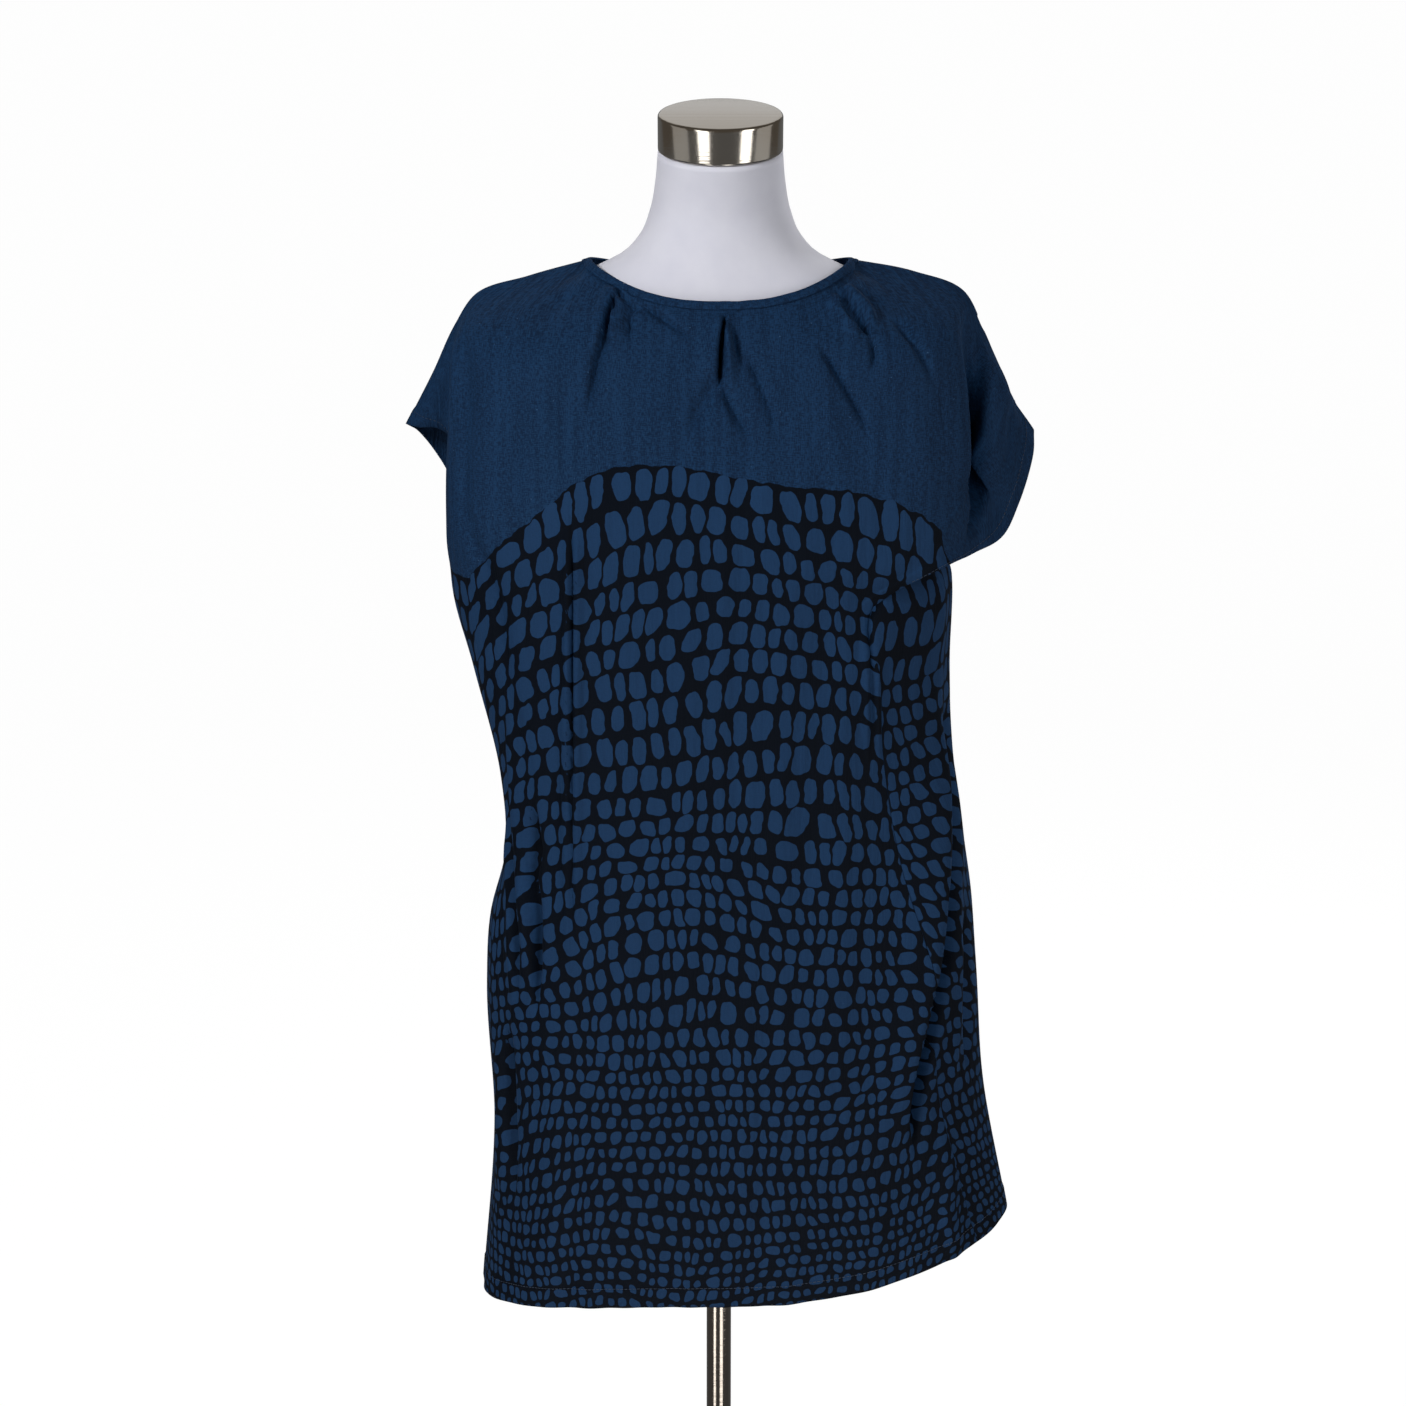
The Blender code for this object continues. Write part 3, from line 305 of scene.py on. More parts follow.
FRONT_CREASES = (
    # left pleat: a hollow from the neck seam down to the left, with a thin line on its right
    Crease("left pleat hollow", ((-0.0785, 1.3790), (-0.0855, 1.3650), (-0.0905, 1.3530), (-0.0950, 1.3420)),
           0.0026, 0.0024, -0.0115, 0.10, 0.30, 1.0, 4.0),
    Crease("left pleat lip", ((-0.0765, 1.377), (-0.0812, 1.364), (-0.0860, 1.348), (-0.0890, 1.322)),
           0.0032, 0.0046, 0.0092, 0.12, 0.6, 1.3, 1.9, -0.0020),
    Crease("left pleat outer lip", ((-0.0835, 1.378), (-0.0915, 1.364), (-0.0975, 1.350), (-0.1045, 1.325)),
           0.0085, 0.0026, 0.0060, 0.12, 0.5, 1.2),
    Crease("left pleat line", ((-0.0780, 1.373), (-0.0762, 1.360), (-0.0745, 1.343), (-0.0775, 1.323)),
           0.0016, 0.0024, -0.0072, 0.08, 0.6),
    Crease("left pleat fall", ((-0.0925, 1.3500), (-0.1002, 1.329), (-0.1050, 1.3032), (-0.1100, 1.2700)),
           0.0022, 0.0060, -0.0082, 0.10, 0.65, 1.3),
    Crease("left drag line", ((-0.0640, 1.3659), (-0.0411, 1.3526), (-0.0165, 1.335)), 0.0034, 0.0022, -0.0060, 0.12, 0.5),
    Crease("left short line", ((-0.0763, 1.3714), (-0.0663, 1.3561)), 0.0022, 0.0018, -0.0052, 0.1, 0.5),
    Crease("left yoke line", ((-0.0425, 1.3015), (-0.0410, 1.2670)), 0.0020, 0.0028, -0.0042),
    # middle pleat: opens below its point, crisp on the left
    Crease("middle pleat hollow",
           ((0.0040, 1.3590), (0.0013, 1.3425), (-0.0005, 1.3303), (-0.0012, 1.3152), (0.0003, 1.3040)),
           0.0026, 0.0026, -0.0125, 0.16, 0.16, 1.15, 4.0),
    Crease("middle pleat ridge", ((0.0068, 1.3600), (0.0072, 1.340), (0.0080, 1.318), (0.0110, 1.296)),
           0.0024, 0.0034, 0.0085, 0.14, 0.5, 1.4, 1.9, -0.0014),
    Crease("middle pleat right line", ((0.0068, 1.3565), (0.0098, 1.343), (0.0130, 1.329), (0.0190, 1.313)),
           0.0020, 0.0030, -0.0074, 0.08, 0.5),
    Crease("middle pleat left lip", ((0.0005, 1.3600), (-0.0035, 1.345), (-0.0056, 1.326), (-0.0062, 1.300)),
           0.0075, 0.0026, 0.0066, 0.18, 0.4, 1.1, 1.9, 0.0014),
    Crease("middle pleat line", ((-0.0005, 1.3045), (0.0088, 1.283), (0.0218, 1.265), (0.0290, 1.253)),
           0.0020, 0.0045, -0.0084, 0.08, 0.6),
    Crease("middle right line", ((0.0185, 1.331), (0.0316, 1.301), (0.0413, 1.2741), (0.0494, 1.2495)),
           0.0020, 0.0040, -0.0080, 0.2, 0.5),
    Crease("middle soft trough", ((-0.0038, 1.3114), (-0.0200, 1.281), (-0.0288, 1.255)),
           0.0046, 0.0075, -0.0072, 0.10, 0.6, 1.4),
    # right pleat: a hollow down to the right, with a thin line on its left
    Crease("right pleat hollow", ((0.0935, 1.3760), (0.1045, 1.3635), (0.1140, 1.3510), (0.1222, 1.3412)),
           0.0026, 0.0026, -0.0130, 0.25, 0.12, 1.0, 4.0),
    Crease("right pleat lip", ((0.0985, 1.3770), (0.1110, 1.3660), (0.1210, 1.3550), (0.1290, 1.3430)),
           0.0028, 0.0044, 0.0092, 0.14, 0.4, 1.2, 1.9, -0.0016),
    Crease("right pleat inner lip", ((0.0905, 1.3735), (0.0990, 1.3590), (0.1085, 1.3460), (0.1140, 1.3330)),
           0.0060, 0.0024, 0.0056, 0.14, 0.5, 1.2),
    Crease("right pleat left line", ((0.0970, 1.3675), (0.1028, 1.3575), (0.1098, 1.349)), 0.0022, 0.0018, -0.0062, 0.1, 0.3),
    Crease("right pleat fall", ((0.1222, 1.3412), (0.1245, 1.327), (0.1200, 1.311)), 0.0028, 0.0034, -0.0074, 0.15, 0.6),
    Crease("right long line", ((0.0770, 1.337), (0.0967, 1.307), (0.1160, 1.2727), (0.1210, 1.2585)),
           0.0020, 0.0040, -0.0074, 0.2, 0.4),
    Crease("right curved line", ((0.1400, 1.353), (0.1580, 1.3335), (0.1767, 1.2955)), 0.0025, 0.0050, -0.0064, 0.2, 0.5),
    # sleeves
    Crease("right sleeve lip", ((0.1990, 1.345), (0.1985, 1.300), (0.1990, 1.250), (0.1992, 1.200), (0.1995, 1.165)),
           0.0140, 0.0034, 0.0062, 0.35, 0.20, 1.0, 1.9, 0.0040),
    Crease("right sleeve fold",
           ((0.2065, 1.335), (0.2060, 1.3069), (0.2066, 1.2653), (0.2069, 1.2239), (0.2078, 1.193), (0.2065, 1.160)),
           0.0028, 0.0055, -0.0150, 0.40, 0.25, 1.0, 3.0),
    Crease("right sleeve ridge", ((0.2170, 1.345), (0.2200, 1.300), (0.2200, 1.250), (0.2195, 1.200), (0.2180, 1.170)),
           0.0055, 0.0200, 0.0190, 0.45, 0.30, 1.0, 2.4),
    Crease("right sleeve soft fold", ((0.2367, 1.2807), (0.2388, 1.2517), (0.2317, 1.2032)),
           0.0050, 0.0050, -0.0036, 0.3, 0.4),
    Crease("left shoulder valley", ((-0.2110, 1.358), (-0.2105, 1.300), (-0.2110, 1.250), (-0.2100, 1.170)),
           0.0035, 0.0090, -0.0050, 0.25, 0.3),
    Crease("left edge ridge", ((-0.2192, 1.347), (-0.2195, 1.300), (-0.2215, 1.270), (-0.2235, 1.247)),
           0.0040, 0.0040, 0.0030, 0.3, 0.4),
    Crease("left underarm drag",
           ((-0.2225, 1.1976), (-0.1990, 1.1646), (-0.1858, 1.1283), (-0.1796, 1.0869), (-0.1742, 1.0162)),
           0.0024, 0.0065, -0.0052, 0.20, 0.5),
    Crease("left second drag", ((-0.2222, 1.208), (-0.2050, 1.190), (-0.1890, 1.173)), 0.0020, 0.0045, -0.0030, 0.25, 0.5),
    Crease("left chest band", ((-0.1650, 1.290), (-0.1665, 1.225), (-0.1680, 1.178)), 0.0040, 0.0075, -0.0030, 0.35, 0.5),
    Crease("left inner band", ((-0.1455, 1.325), (-0.1480, 1.272)), 0.0040, 0.0065, -0.0024, 0.35, 0.5),
    # side drapes
    Crease("left long ridge", ((-0.1234, 1.220), (-0.1240, 1.110), (-0.1255, 1.0132), (-0.1273, 0.790)),
           0.0036, 0.0026, 0.0050, 0.20, 0.35, 1.1, 1.8),
    Crease("left long groove", ((-0.1200, 1.210), (-0.1205, 1.110), (-0.1218, 1.0132), (-0.1235, 0.820)),
           0.0018, 0.0018, -0.0040, 0.20, 0.35),
    Crease("left twin ridge", ((-0.1161, 1.210), (-0.1170, 1.100), (-0.1180, 1.0135), (-0.1197, 0.820)),
           0.0026, 0.0040, 0.0044, 0.20, 0.35, 1.1, 1.8),
    Crease("left side ridge", ((-0.1761, 1.0413), (-0.1720, 0.975), (-0.1691, 0.9143), (-0.1636, 0.800)),
           0.0038, 0.0070, 0.0068, 0.20, 0.35, 1.1, 1.8, -0.0015),
    Crease("left flank groove", ((-0.1755, 0.950), (-0.1725, 0.870), (-0.1720, 0.760)),
           0.0026, 0.0026, -0.0080, 0.2, 0.35, 1.0, 3.0),
    Crease("left flank ridge", ((-0.1800, 0.930), (-0.1772, 0.850), (-0.1770, 0.760)), 0.0035, 0.0030, 0.0045, 0.2, 0.4),
    Crease("left trough",
           ((-0.1530, 0.960), (-0.1547, 0.9287), (-0.1533, 0.9103), (-0.1577, 0.8887), (-0.1551, 0.8685),
            (-0.1550, 0.827), (-0.1554, 0.760)),
           0.0048, 0.0042, -0.0120, 0.20, 0.30, 1.0, 3.0),
    Crease("left hem trough", ((-0.1800, 0.760), (-0.1803, 0.7318), (-0.1788, 0.6759), (-0.1776, 0.590)),
           0.0036, 0.0034, -0.0110, 0.2, 0.35, 1.0, 3.0),
    Crease("left hem ridge", ((-0.1870, 0.750), (-0.1870, 0.660), (-0.1890, 0.570)), 0.0050, 0.0045, 0.0045, 0.2, 0.4),
    Crease("right seam ridge", ((0.1182, 1.104), (0.1183, 1.080), (0.1187, 1.0469), (0.1218, 0.985)),
           0.0030, 0.0028, 0.0044, 0.15, 0.45),
    Crease("right twin ridge", ((0.1270, 1.102), (0.1272, 1.080), (0.1277, 1.0469), (0.1321, 0.985)),
           0.0028, 0.0032, 0.0044, 0.15, 0.45),
    Crease("right deep lip",
           ((0.1840, 1.040), (0.1825, 0.950), (0.1790, 0.8674), (0.1735, 0.8118), (0.1652, 0.771), (0.1570, 0.728),
            (0.1580, 0.640)),
           0.0190, 0.0045, 0.0110, 0.25, 0.30, 1.0, 1.9, 0.0085),
    Crease("right deep fold",
           ((0.1920, 1.040), (0.1902, 0.952), (0.1875, 0.8674), (0.1818, 0.8118), (0.1735, 0.771), (0.1655, 0.728),
            (0.1670, 0.640)),
           0.0058, 0.0078, -0.0420, 0.25, 0.25, 1.0, 3.5),
    Crease("right deep bank",
           ((0.2030, 1.000), (0.2010, 0.930), (0.1990, 0.8674), (0.1935, 0.8118), (0.1855, 0.771), (0.1775, 0.728),
            (0.1790, 0.650)),
           0.0040, 0.0080, 0.0055, 0.25, 0.30, 1.0, 1.9),
    Crease("right outer groove", ((0.2100, 0.850), (0.2108, 0.8062), (0.2122, 0.760), (0.2134, 0.700)),
           0.0026, 0.0036, -0.0090, 0.25, 0.35, 1.0, 3.0),
    Crease("right outer ridge", ((0.2020, 0.860), (0.2020, 0.780), (0.1990, 0.680)), 0.0065, 0.0045, 0.0045, 0.3, 0.4),
    Crease("right hem ridge", ((0.1900, 0.680), (0.1960, 0.600), (0.2020, 0.540)), 0.0080, 0.0080, 0.0050, 0.4, 0.2),
    Crease("right bust fold", ((0.1230, 1.240), (0.1330, 1.190), (0.1400, 1.150)), 0.0060, 0.0060, -0.0034, 0.3, 0.4),
)
BACK_CREASES = (
    Crease("left blade trough", ((-0.100, 1.270), (-0.108, 1.000), (-0.118, 0.700)), 0.0190, 0.0190, -0.0085),
    Crease("left flank ridge", ((-0.150, 1.120), (-0.156, 0.840), (-0.160, 0.560)), 0.0160, 0.0160, 0.0085),
    Crease("middle ridge", ((-0.020, 1.230), (-0.006, 0.900), (0.010, 0.560)), 0.0260, 0.0260, 0.0065),
    Crease("right blade trough", ((0.085, 1.280), (0.093, 1.000), (0.100, 0.700)), 0.0190, 0.0190, -0.0085),
    Crease("right flank ridge", ((0.150, 1.120), (0.158, 0.850), (0.165, 0.580)), 0.0160, 0.0160, 0.0085),
    Crease("left neck drag", ((-0.0720, 1.380), (-0.0950, 1.345), (-0.1210, 1.296)), 0.0024, 0.0045, -0.0052, 0.15, 0.5),
    Crease("left neck lip", ((-0.0790, 1.378), (-0.1020, 1.342), (-0.1280, 1.300)), 0.0060, 0.0026, 0.0044, 0.15, 0.5),
    Crease("right neck drag", ((0.0640, 1.382), (0.0880, 1.340), (0.1040, 1.288)), 0.0045, 0.0024, -0.0050, 0.15, 0.5),
    Crease("right neck lip", ((0.0710, 1.380), (0.0950, 1.338), (0.1110, 1.290)), 0.0026, 0.0060, 0.0044, 0.15, 0.5),
    Crease("left blade line", ((-0.1180, 1.285), (-0.1240, 1.180), (-0.1300, 1.020)), 0.0028, 0.0060, -0.0064, 0.25, 0.5),
    Crease("right blade line", ((0.1100, 1.300), (0.1200, 1.200), (0.1235, 1.060)), 0.0060, 0.0028, -0.0066, 0.25, 0.5),
    Crease("left underarm drag", ((-0.2000, 1.185), (-0.1660, 1.142), (-0.1340, 1.078)), 0.0026, 0.0062, -0.0060, 0.2, 0.5),
    Crease("right underarm drag", ((0.1820, 1.175), (0.1500, 1.122), (0.1190, 1.050)), 0.0026, 0.0062, -0.0058, 0.2, 0.5),
    Crease("left side ridge", ((-0.1500, 1.150), (-0.1560, 1.020), (-0.1500, 0.860)), 0.0044, 0.0070, 0.0074, 0.2, 0.4),
    Crease("left long trough", ((-0.1310, 1.080), (-0.1380, 0.930), (-0.1420, 0.720)),
           0.0044, 0.0040, -0.0115, 0.2, 0.3, 1.1, 3.0),
    Crease("middle long ridge", ((-0.0320, 1.200), (-0.0260, 1.000), (-0.0150, 0.780)), 0.0052, 0.0080, 0.0074, 0.25, 0.4),
    Crease("middle trough", ((0.0220, 1.080), (0.0290, 0.880), (0.0370, 0.640)), 0.0058, 0.0046, -0.0088, 0.25, 0.4, 1.3),
    Crease("right long ridge", ((0.0960, 1.130), (0.1060, 0.950), (0.1170, 0.730)), 0.0050, 0.0042, 0.0076, 0.2, 0.4),
    Crease("right trough", ((0.1260, 1.010), (0.1360, 0.850), (0.1480, 0.650)), 0.0048, 0.0040, -0.0120, 0.2, 0.3, 1.1, 3.0),
    Crease("left hem flare", ((-0.0800, 0.770), (-0.0880, 0.640), (-0.0970, 0.530)), 0.0120, 0.0140, 0.0080, 0.45, 0.10),
    Crease("right hem flare", ((0.0620, 0.750), (0.0680, 0.640), (0.0740, 0.540)), 0.0130, 0.0110, 0.0076, 0.45, 0.10),
)


@dataclass(frozen=True)
class FormSection:
    """A level section of the display form, tipped forward by its lean in degrees."""

    level: float
    half_width: float
    front: float
    back: float
    square: float
    lean: float


FORM_SECTIONS = (
    FormSection(0.740, 0.157, 0.098, 0.106, 2.2, 0.0),
    FormSection(0.800, 0.163, 0.101, 0.114, 2.2, 0.0),
    FormSection(0.860, 0.157, 0.098, 0.109, 2.2, 0.0),
    FormSection(0.930, 0.140, 0.091, 0.090, 2.2, 0.0),
    FormSection(1.000, 0.127, 0.086, 0.076, 2.1, 0.0),
    FormSection(1.060, 0.133, 0.097, 0.078, 2.1, 0.0),
    FormSection(1.110, 0.144, 0.114, 0.086, 2.2, 0.0),
    FormSection(1.155, 0.153, 0.126, 0.093, 2.3, 0.0),
    FormSection(1.200, 0.160, 0.122, 0.098, 2.3, 0.0),
    FormSection(1.250, 0.171, 0.109, 0.101, 2.3, 0.0),
    FormSection(1.300, 0.185, 0.095, 0.097, 2.3, 0.0),
    FormSection(1.332, 0.192, 0.084, 0.087, 2.2, 0.0),
    FormSection(1.351, 0.186, 0.077, 0.080, 2.1, 0.0),
    FormSection(1.3645, 0.168, 0.071, 0.074, 2.0, 0.0),
    FormSection(1.3765, 0.141, 0.066, 0.068, 2.0, 0.0),
    FormSection(1.386, 0.116, 0.064, 0.062, 2.0, 0.0),
    FormSection(1.393, 0.101, 0.062, 0.058, 2.0, 0.0),
    FormSection(1.402, 0.083, 0.061, 0.054, 2.0, 1.0),
    FormSection(1.416, 0.0685, 0.060, 0.047, 2.0, 3.0),
    FormSection(1.438, 0.0585, 0.061, 0.040, 2.0, 7.0),
    FormSection(1.464, 0.0535, 0.068, 0.033, 2.0, 10.5),
    FormSection(1.487, 0.0515, 0.0765, 0.0265, 2.0, 13.0),
)


def form_reach(points: np.ndarray) -> np.ndarray:
    """1 on the form's skin, less inside it and more outside, at each point."""
    table = np.array([[s.half_width, s.front, s.back, s.square] for s in FORM_SECTIONS])
    values = through([s.level for s in FORM_SECTIONS], table, points[:, 2])
    width, front, back, square = values.T
    depth = np.where(points[:, 1] < 0, front, back)
    return (np.abs(points[:, 0] / width) ** square + np.abs(points[:, 1] / depth) ** square) ** (1 / square)


@dataclass
class PanelGrid:
    """One panel as laid out and draped: its inside points, outward normals and flat places."""

    panel: Panel
    inside: Grid
    normal: Grid
    flat: Grid  # place on the flat cloth in metres: across from the middle, up from the hem
    neck_columns: range  # columns whose top point lies on the neckline

    def outside(self, thickness: Grid) -> Grid:
        """The outer skin at a given thickness."""
        return self.inside + thickness[..., None] * self.normal


@dataclass
class TunicCut:
    """The tunic's cut and drape, as grids of points."""

    neck_half_width: float = 0.109
    neck_point: float = 1.3965
    neck_drop: dict[Panel, float] = field(default_factory=lambda: {Panel.FRONT: 0.0295, Panel.BACK: 0.013})
    neck_depth: dict[Panel, float] = field(default_factory=lambda: {Panel.FRONT: 0.078, Panel.BACK: 0.068})
    neck_curve: float = 2.5
    neck_square: float = 2.2
    neck_share: float = 0.47
    fold_share: float = 0.80
    hem_ahead: float = 0.014
    hem_stretch: float = 0.022
    bend_share: float = 0.86
    back_inset: float = 0.25
    drop_curve: float = 2.2
    turn_in: float = 0.35
    seam_gap: float = 0.0004
    form_gap: float = 0.0009
    facing: float = 3.0
    shoulder_end: int = 2
    underarm_row: int = 6
    upper_rows: int = 80
    lower_rows: int = 78
    neck_columns: int = 62
    body_columns: int = 46
    sleeve_columns: int = 44

    def shares(self) -> np.ndarray:
        """Shares of the way out at which a half panel has its columns, closer at the pleats."""
        neck = self.paced(0, self.neck_share, self.neck_columns, ((0.0, 0.06, 2.4), (0.37, 0.06, 3.0)))
        body = self.paced(self.neck_share, self.fold_share, self.body_columns, ((0.53, 0.05, 0.8), (0.78, 0.05, 1.6)))
        sleeve = self.paced(self.fold_share, 1, self.sleeve_columns, ((0.82, 0.03, 0.8), (0.95, 0.06, 1.8)))
        return np.concatenate([neck, body[1:], sleeve[1:]])

    def paced(self, low: float, high: float, count: int, spots: tuple[tuple[float, float, float], ...]) -> np.ndarray:
        """Places from low to high that stand closer together round some spots.

        Args:
            low: The first place.
            high: The last place.
            count: How many steps there are.
            spots: For each spot its place, its reach and how much denser it is.

        Returns:
            One place more than there are steps.
        """
        fine = np.linspace(low, high, 600)
        pace = np.ones(600)
        for place, reach, extra in spots:
            pace += extra * np.exp(-(((fine - place) / reach) ** 2))
        run = np.concatenate([[0], np.cumsum(0.5 * (pace[1:] + pace[:-1]))])
        return np.interp(np.linspace(0, run[-1], count + 1), run, fine)

    def placed(self, points: Iterable[Point], hand: Hand) -> np.ndarray:
        """Named points as coordinates on one side."""
        return np.array([(hand.value * p.out, p.behind, p.level) for p in points])

    def shoulder_row(self, hand: Hand, panel: Panel, shares: np.ndarray) -> np.ndarray:
        """The top of a half panel: neckline, shoulder seam and the sleeve's top, as one line.

        Args:
            hand: The side.
            panel: Front or back.
            shares: Shares of the way out to read.

        Returns:
            One point for each share.
        """
        reach = np.linspace(0, 1, 160)
        sign = -1 if panel is Panel.FRONT else 1
        neckline = np.stack(
            [
                hand.value * self.neck_half_width * reach,
                sign * self.neck_depth[panel] * np.sqrt(1 - reach**self.neck_square),
                self.neck_point - self.neck_drop[panel] * (1 - reach**self.neck_curve),
            ],
            1,
        )
        points = self.placed(SHOULDER_LINE[hand], hand)
        line = smooth_line(points, 180)
        end = int(np.argmin(np.linalg.norm(line - points[self.shoulder_end], axis=1)))
        bounds = [0, self.neck_share, self.fold_share, 1]
        return in_stretches([neckline, line[: end + 1], line[end:]], bounds, shares)

    def arc(self, section: Section, hand: Hand, panel: Panel) -> np.ndarray:
        """A panel's line in one section, from its middle round to its widest place."""
        left = hand is Hand.LEFT
        reach = section.left if left else section.right
        fold = section.left_fold if left else section.right_fold
        drop = section.left_drop if left else section.right_drop
        depth = -section.front
        if panel is Panel.BACK:
            depth, fold = section.back, fold + section.spread
            reach -= self.back_inset * section.spread
        turn = np.linspace(0, math.pi / 2, 160)
        power = 2 / section.square
        wide = np.sin(turn) ** power
        behind = fold + (depth - fold) * np.cos(turn) ** power
        return np.stack([hand.value * reach * wide, behind, section.level - drop * wide**self.drop_curve], 1)

    def turned_back(self, start: np.ndarray, edge: np.ndarray, pull: float) -> np.ndarray:
        """The stretch from the widest line to the sleeve's hem, which starts straight back."""
        first = start + np.array([0, pull, 0])
        second = edge - self.turn_in * (edge - start)
        t = np.linspace(0, 1, 80)[:, None]
        return (1 - t) ** 3 * start + 3 * t * (1 - t) ** 2 * first + 3 * t**2 * (1 - t) * second + t**3 * edge

    def sleeve_row(self, number: int, hand: Hand, panel: Panel, shares: np.ndarray) -> np.ndarray:
        """A row above the underarm, out to the sleeve's hem.

        Args:
            number: The row, counted from 1 under the shoulder line.
            hand: The side.
            panel: Front or back.
            shares: Shares of the way out to read.

        Returns:
            One point for each share.
        """
        body = self.arc(SECTIONS[number - 1], hand, panel)
        hem = self.placed(CUFF[hand, panel], hand)[number - 1]
        bounds = [0, self.fold_share, 1]
        if panel is Panel.FRONT and hem[1] < body[-1, 1] - self.hem_ahead:
            body = body[np.abs(body[:, 0]) < abs(hem[0]) - self.hem_stretch]
            return in_stretches([body, np.array([body[-1], hem])], bounds, shares)
        tuck = TUCK[hand][number - 1]
        pull = tuck if panel is Panel.FRONT else -tuck
        return in_stretches([body, self.turned_back(body[-1], hem, pull)], bounds, shares)

    def body_row(self, number: int, hand: Hand, panel: Panel, shares: np.ndarray) -> np.ndarray:
        """A row from the underarm down, out to the side seam.

        Args:
            number: The row, counted from 1 under the shoulder line.
            hand: The side.
            panel: Front or back.
            shares: Shares of the way out to read.

        Returns:
            One point for each share.
        """
        section = SECTIONS[number - 1]
        front = self.arc(section, hand, Panel.FRONT)
        ring = np.concatenate([front, self.arc(section, hand, Panel.BACK)[::-1]])
        run = run_of(ring)
        widest = run[len(front) - 1]
        side_middle = 0.5 * (widest + run[len(front)])
        seam = side_middle - (section.left_seam if hand is Hand.LEFT else section.right_seam)
        if panel is Panel.BACK:
            widest = run[-1] - run[len(front)]
            ring, run, seam = ring[::-1], run[-1] - run[::-1], run[-1] - seam
        bend = min(widest, self.bend_share * seam)
        dense = np.linspace(0, 1, 160)
        lines = [through(run, ring, bend * dense), through(run, ring, bend + (seam - bend) * dense)]
        return in_stretches(lines, [0, self.fold_share, 1], shares)

    def lines(self, panel: Panel) -> np.ndarray:
        """A panel's shoulder line and its sections, from left to right, [row, column]."""
        shares, halves = self.shares(), []
        for hand in (Hand.LEFT, Hand.RIGHT):
            rows = [self.shoulder_row(hand, panel, shares)]
            for number in range(1, len(SECTIONS) + 1):
                reader = self.sleeve_row if number < self.underarm_row else self.body_row
                rows.append(reader(number, hand, panel, shares))
            halves.append(np.array(rows))
        return np.concatenate([halves[0][:, ::-1], halves[1][:, 1:]], 1)

    def surfaces(self) -> list[Grid]:
        """The inside of the front and of the back as smooth grids, with rows at shared places."""
        lines = [self.lines(Panel.FRONT), self.lines(Panel.BACK)]
        drops = [np.linalg.norm(np.diff(each, axis=0), axis=2).mean(1) for each in lines]
        down = np.concatenate([[0], np.cumsum(0.5 * (drops[0] + drops[1]))])
        under = down[self.underarm_row]
        upper = self.paced(0, under, self.upper_rows, ((0.0, 0.055, 5.0),))
        lower = self.paced(under, down[-1], self.lower_rows, ((down[-1], 0.03, 3.0),))
        rows = np.concatenate([upper, lower[1:]])
        return [through(down, each, rows) for each in lines]

    def normals(self, grid: Grid, panel: Panel) -> Grid:
        """Outward unit normals of a panel's grid."""
        normal = unit(np.cross(np.gradient(grid, axis=0), np.gradient(grid, axis=1)))
        return normal if panel is Panel.FRONT else -normal

    def seamed(self, front: Grid, back: Grid) -> tuple[Grid, Grid]:
        """Normals of both panels, made the same along the shoulder seams and the side seams."""
        n_front, n_back = self.normals(front, Panel.FRONT), self.normals(back, Panel.BACK)
        below = slice(self.upper_rows, None)
        for side in (0, -1):
            both = unit(n_front[below, side] + n_back[below, side])
            n_front[below, side] = both
            n_back[below, side] = both
        middle = len(self.shares()) - 1
        outer = np.arange(self.neck_columns, middle + 1)
        columns = np.concatenate([middle - outer, middle + outer])
        top = unit(n_front[0, columns] + n_back[0, columns])
        n_front[0, columns] = top
        n_back[0, columns] = top
        return n_front, n_back

    def joined(self, front: Grid, back: Grid) -> tuple[Grid, Grid]:
        """Both grids with one shared line along each side seam."""
        below = slice(self.upper_rows, None)
        for side in (0, -1):
            middle = 0.5 * (front[below, side] + back[below, side])
            front[below, side] = middle
            back[below, side] = middle
        return front, back

    def creased(self, grid: Grid, normal: Grid) -> Grid:
        """The grid with its creases, each on the side of the tunic that it belongs to."""
        facing = np.clip(self.facing * normal[..., 1], -1, 1)
        places = grid[..., [0, 2]]
        across = unit(np.gradient(grid, axis=1))
        across *= np.sign(across[..., :1])
        lift = np.zeros(grid.shape[:2])
        shift = np.zeros(grid.shape[:2])
        for creases, share in ((FRONT_CREASES, np.maximum(-facing, 0)), (BACK_CREASES, np.maximum(facing, 0))):
            for crease in creases:
                shape = crease.shape(places) * share
                lift += crease.height * shape
                shift += crease.over * shape
        lift += self.crumple(grid)
        lift[0] = 0
        shift[0] = 0
        return grid + lift[..., None] * normal + shift[..., None] * across

    def crumple(self, grid: Grid) -> Grid:
        """Small uneven waves that any light cloth has, longer down the cloth than across it."""
        rng = np.random.default_rng(11)
        turn = np.arctan2(grid[..., 1], grid[..., 0])
        waves = np.zeros(grid.shape[:2])
        for _ in range(14):
            across, down = rng.uniform(14, 46), rng.uniform(-16, 16)
            waves += np.sin(across * turn * 0.9 + down * grid[..., 2] + rng.uniform(0, 2 * math.pi)) / across
        for _ in range(10):
            across, down = rng.uniform(-120, 120), rng.uniform(-50, 50)
            phase = across * grid[..., 0] + down * grid[..., 2] + 60 * grid[..., 1]
            waves += 0.22 * np.sin(phase + rng.uniform(0, 2 * math.pi)) / 24
        set_in = smooth_step((1.385 - grid[..., 2]) / 0.10)
        return 0.0062 * waves * set_in

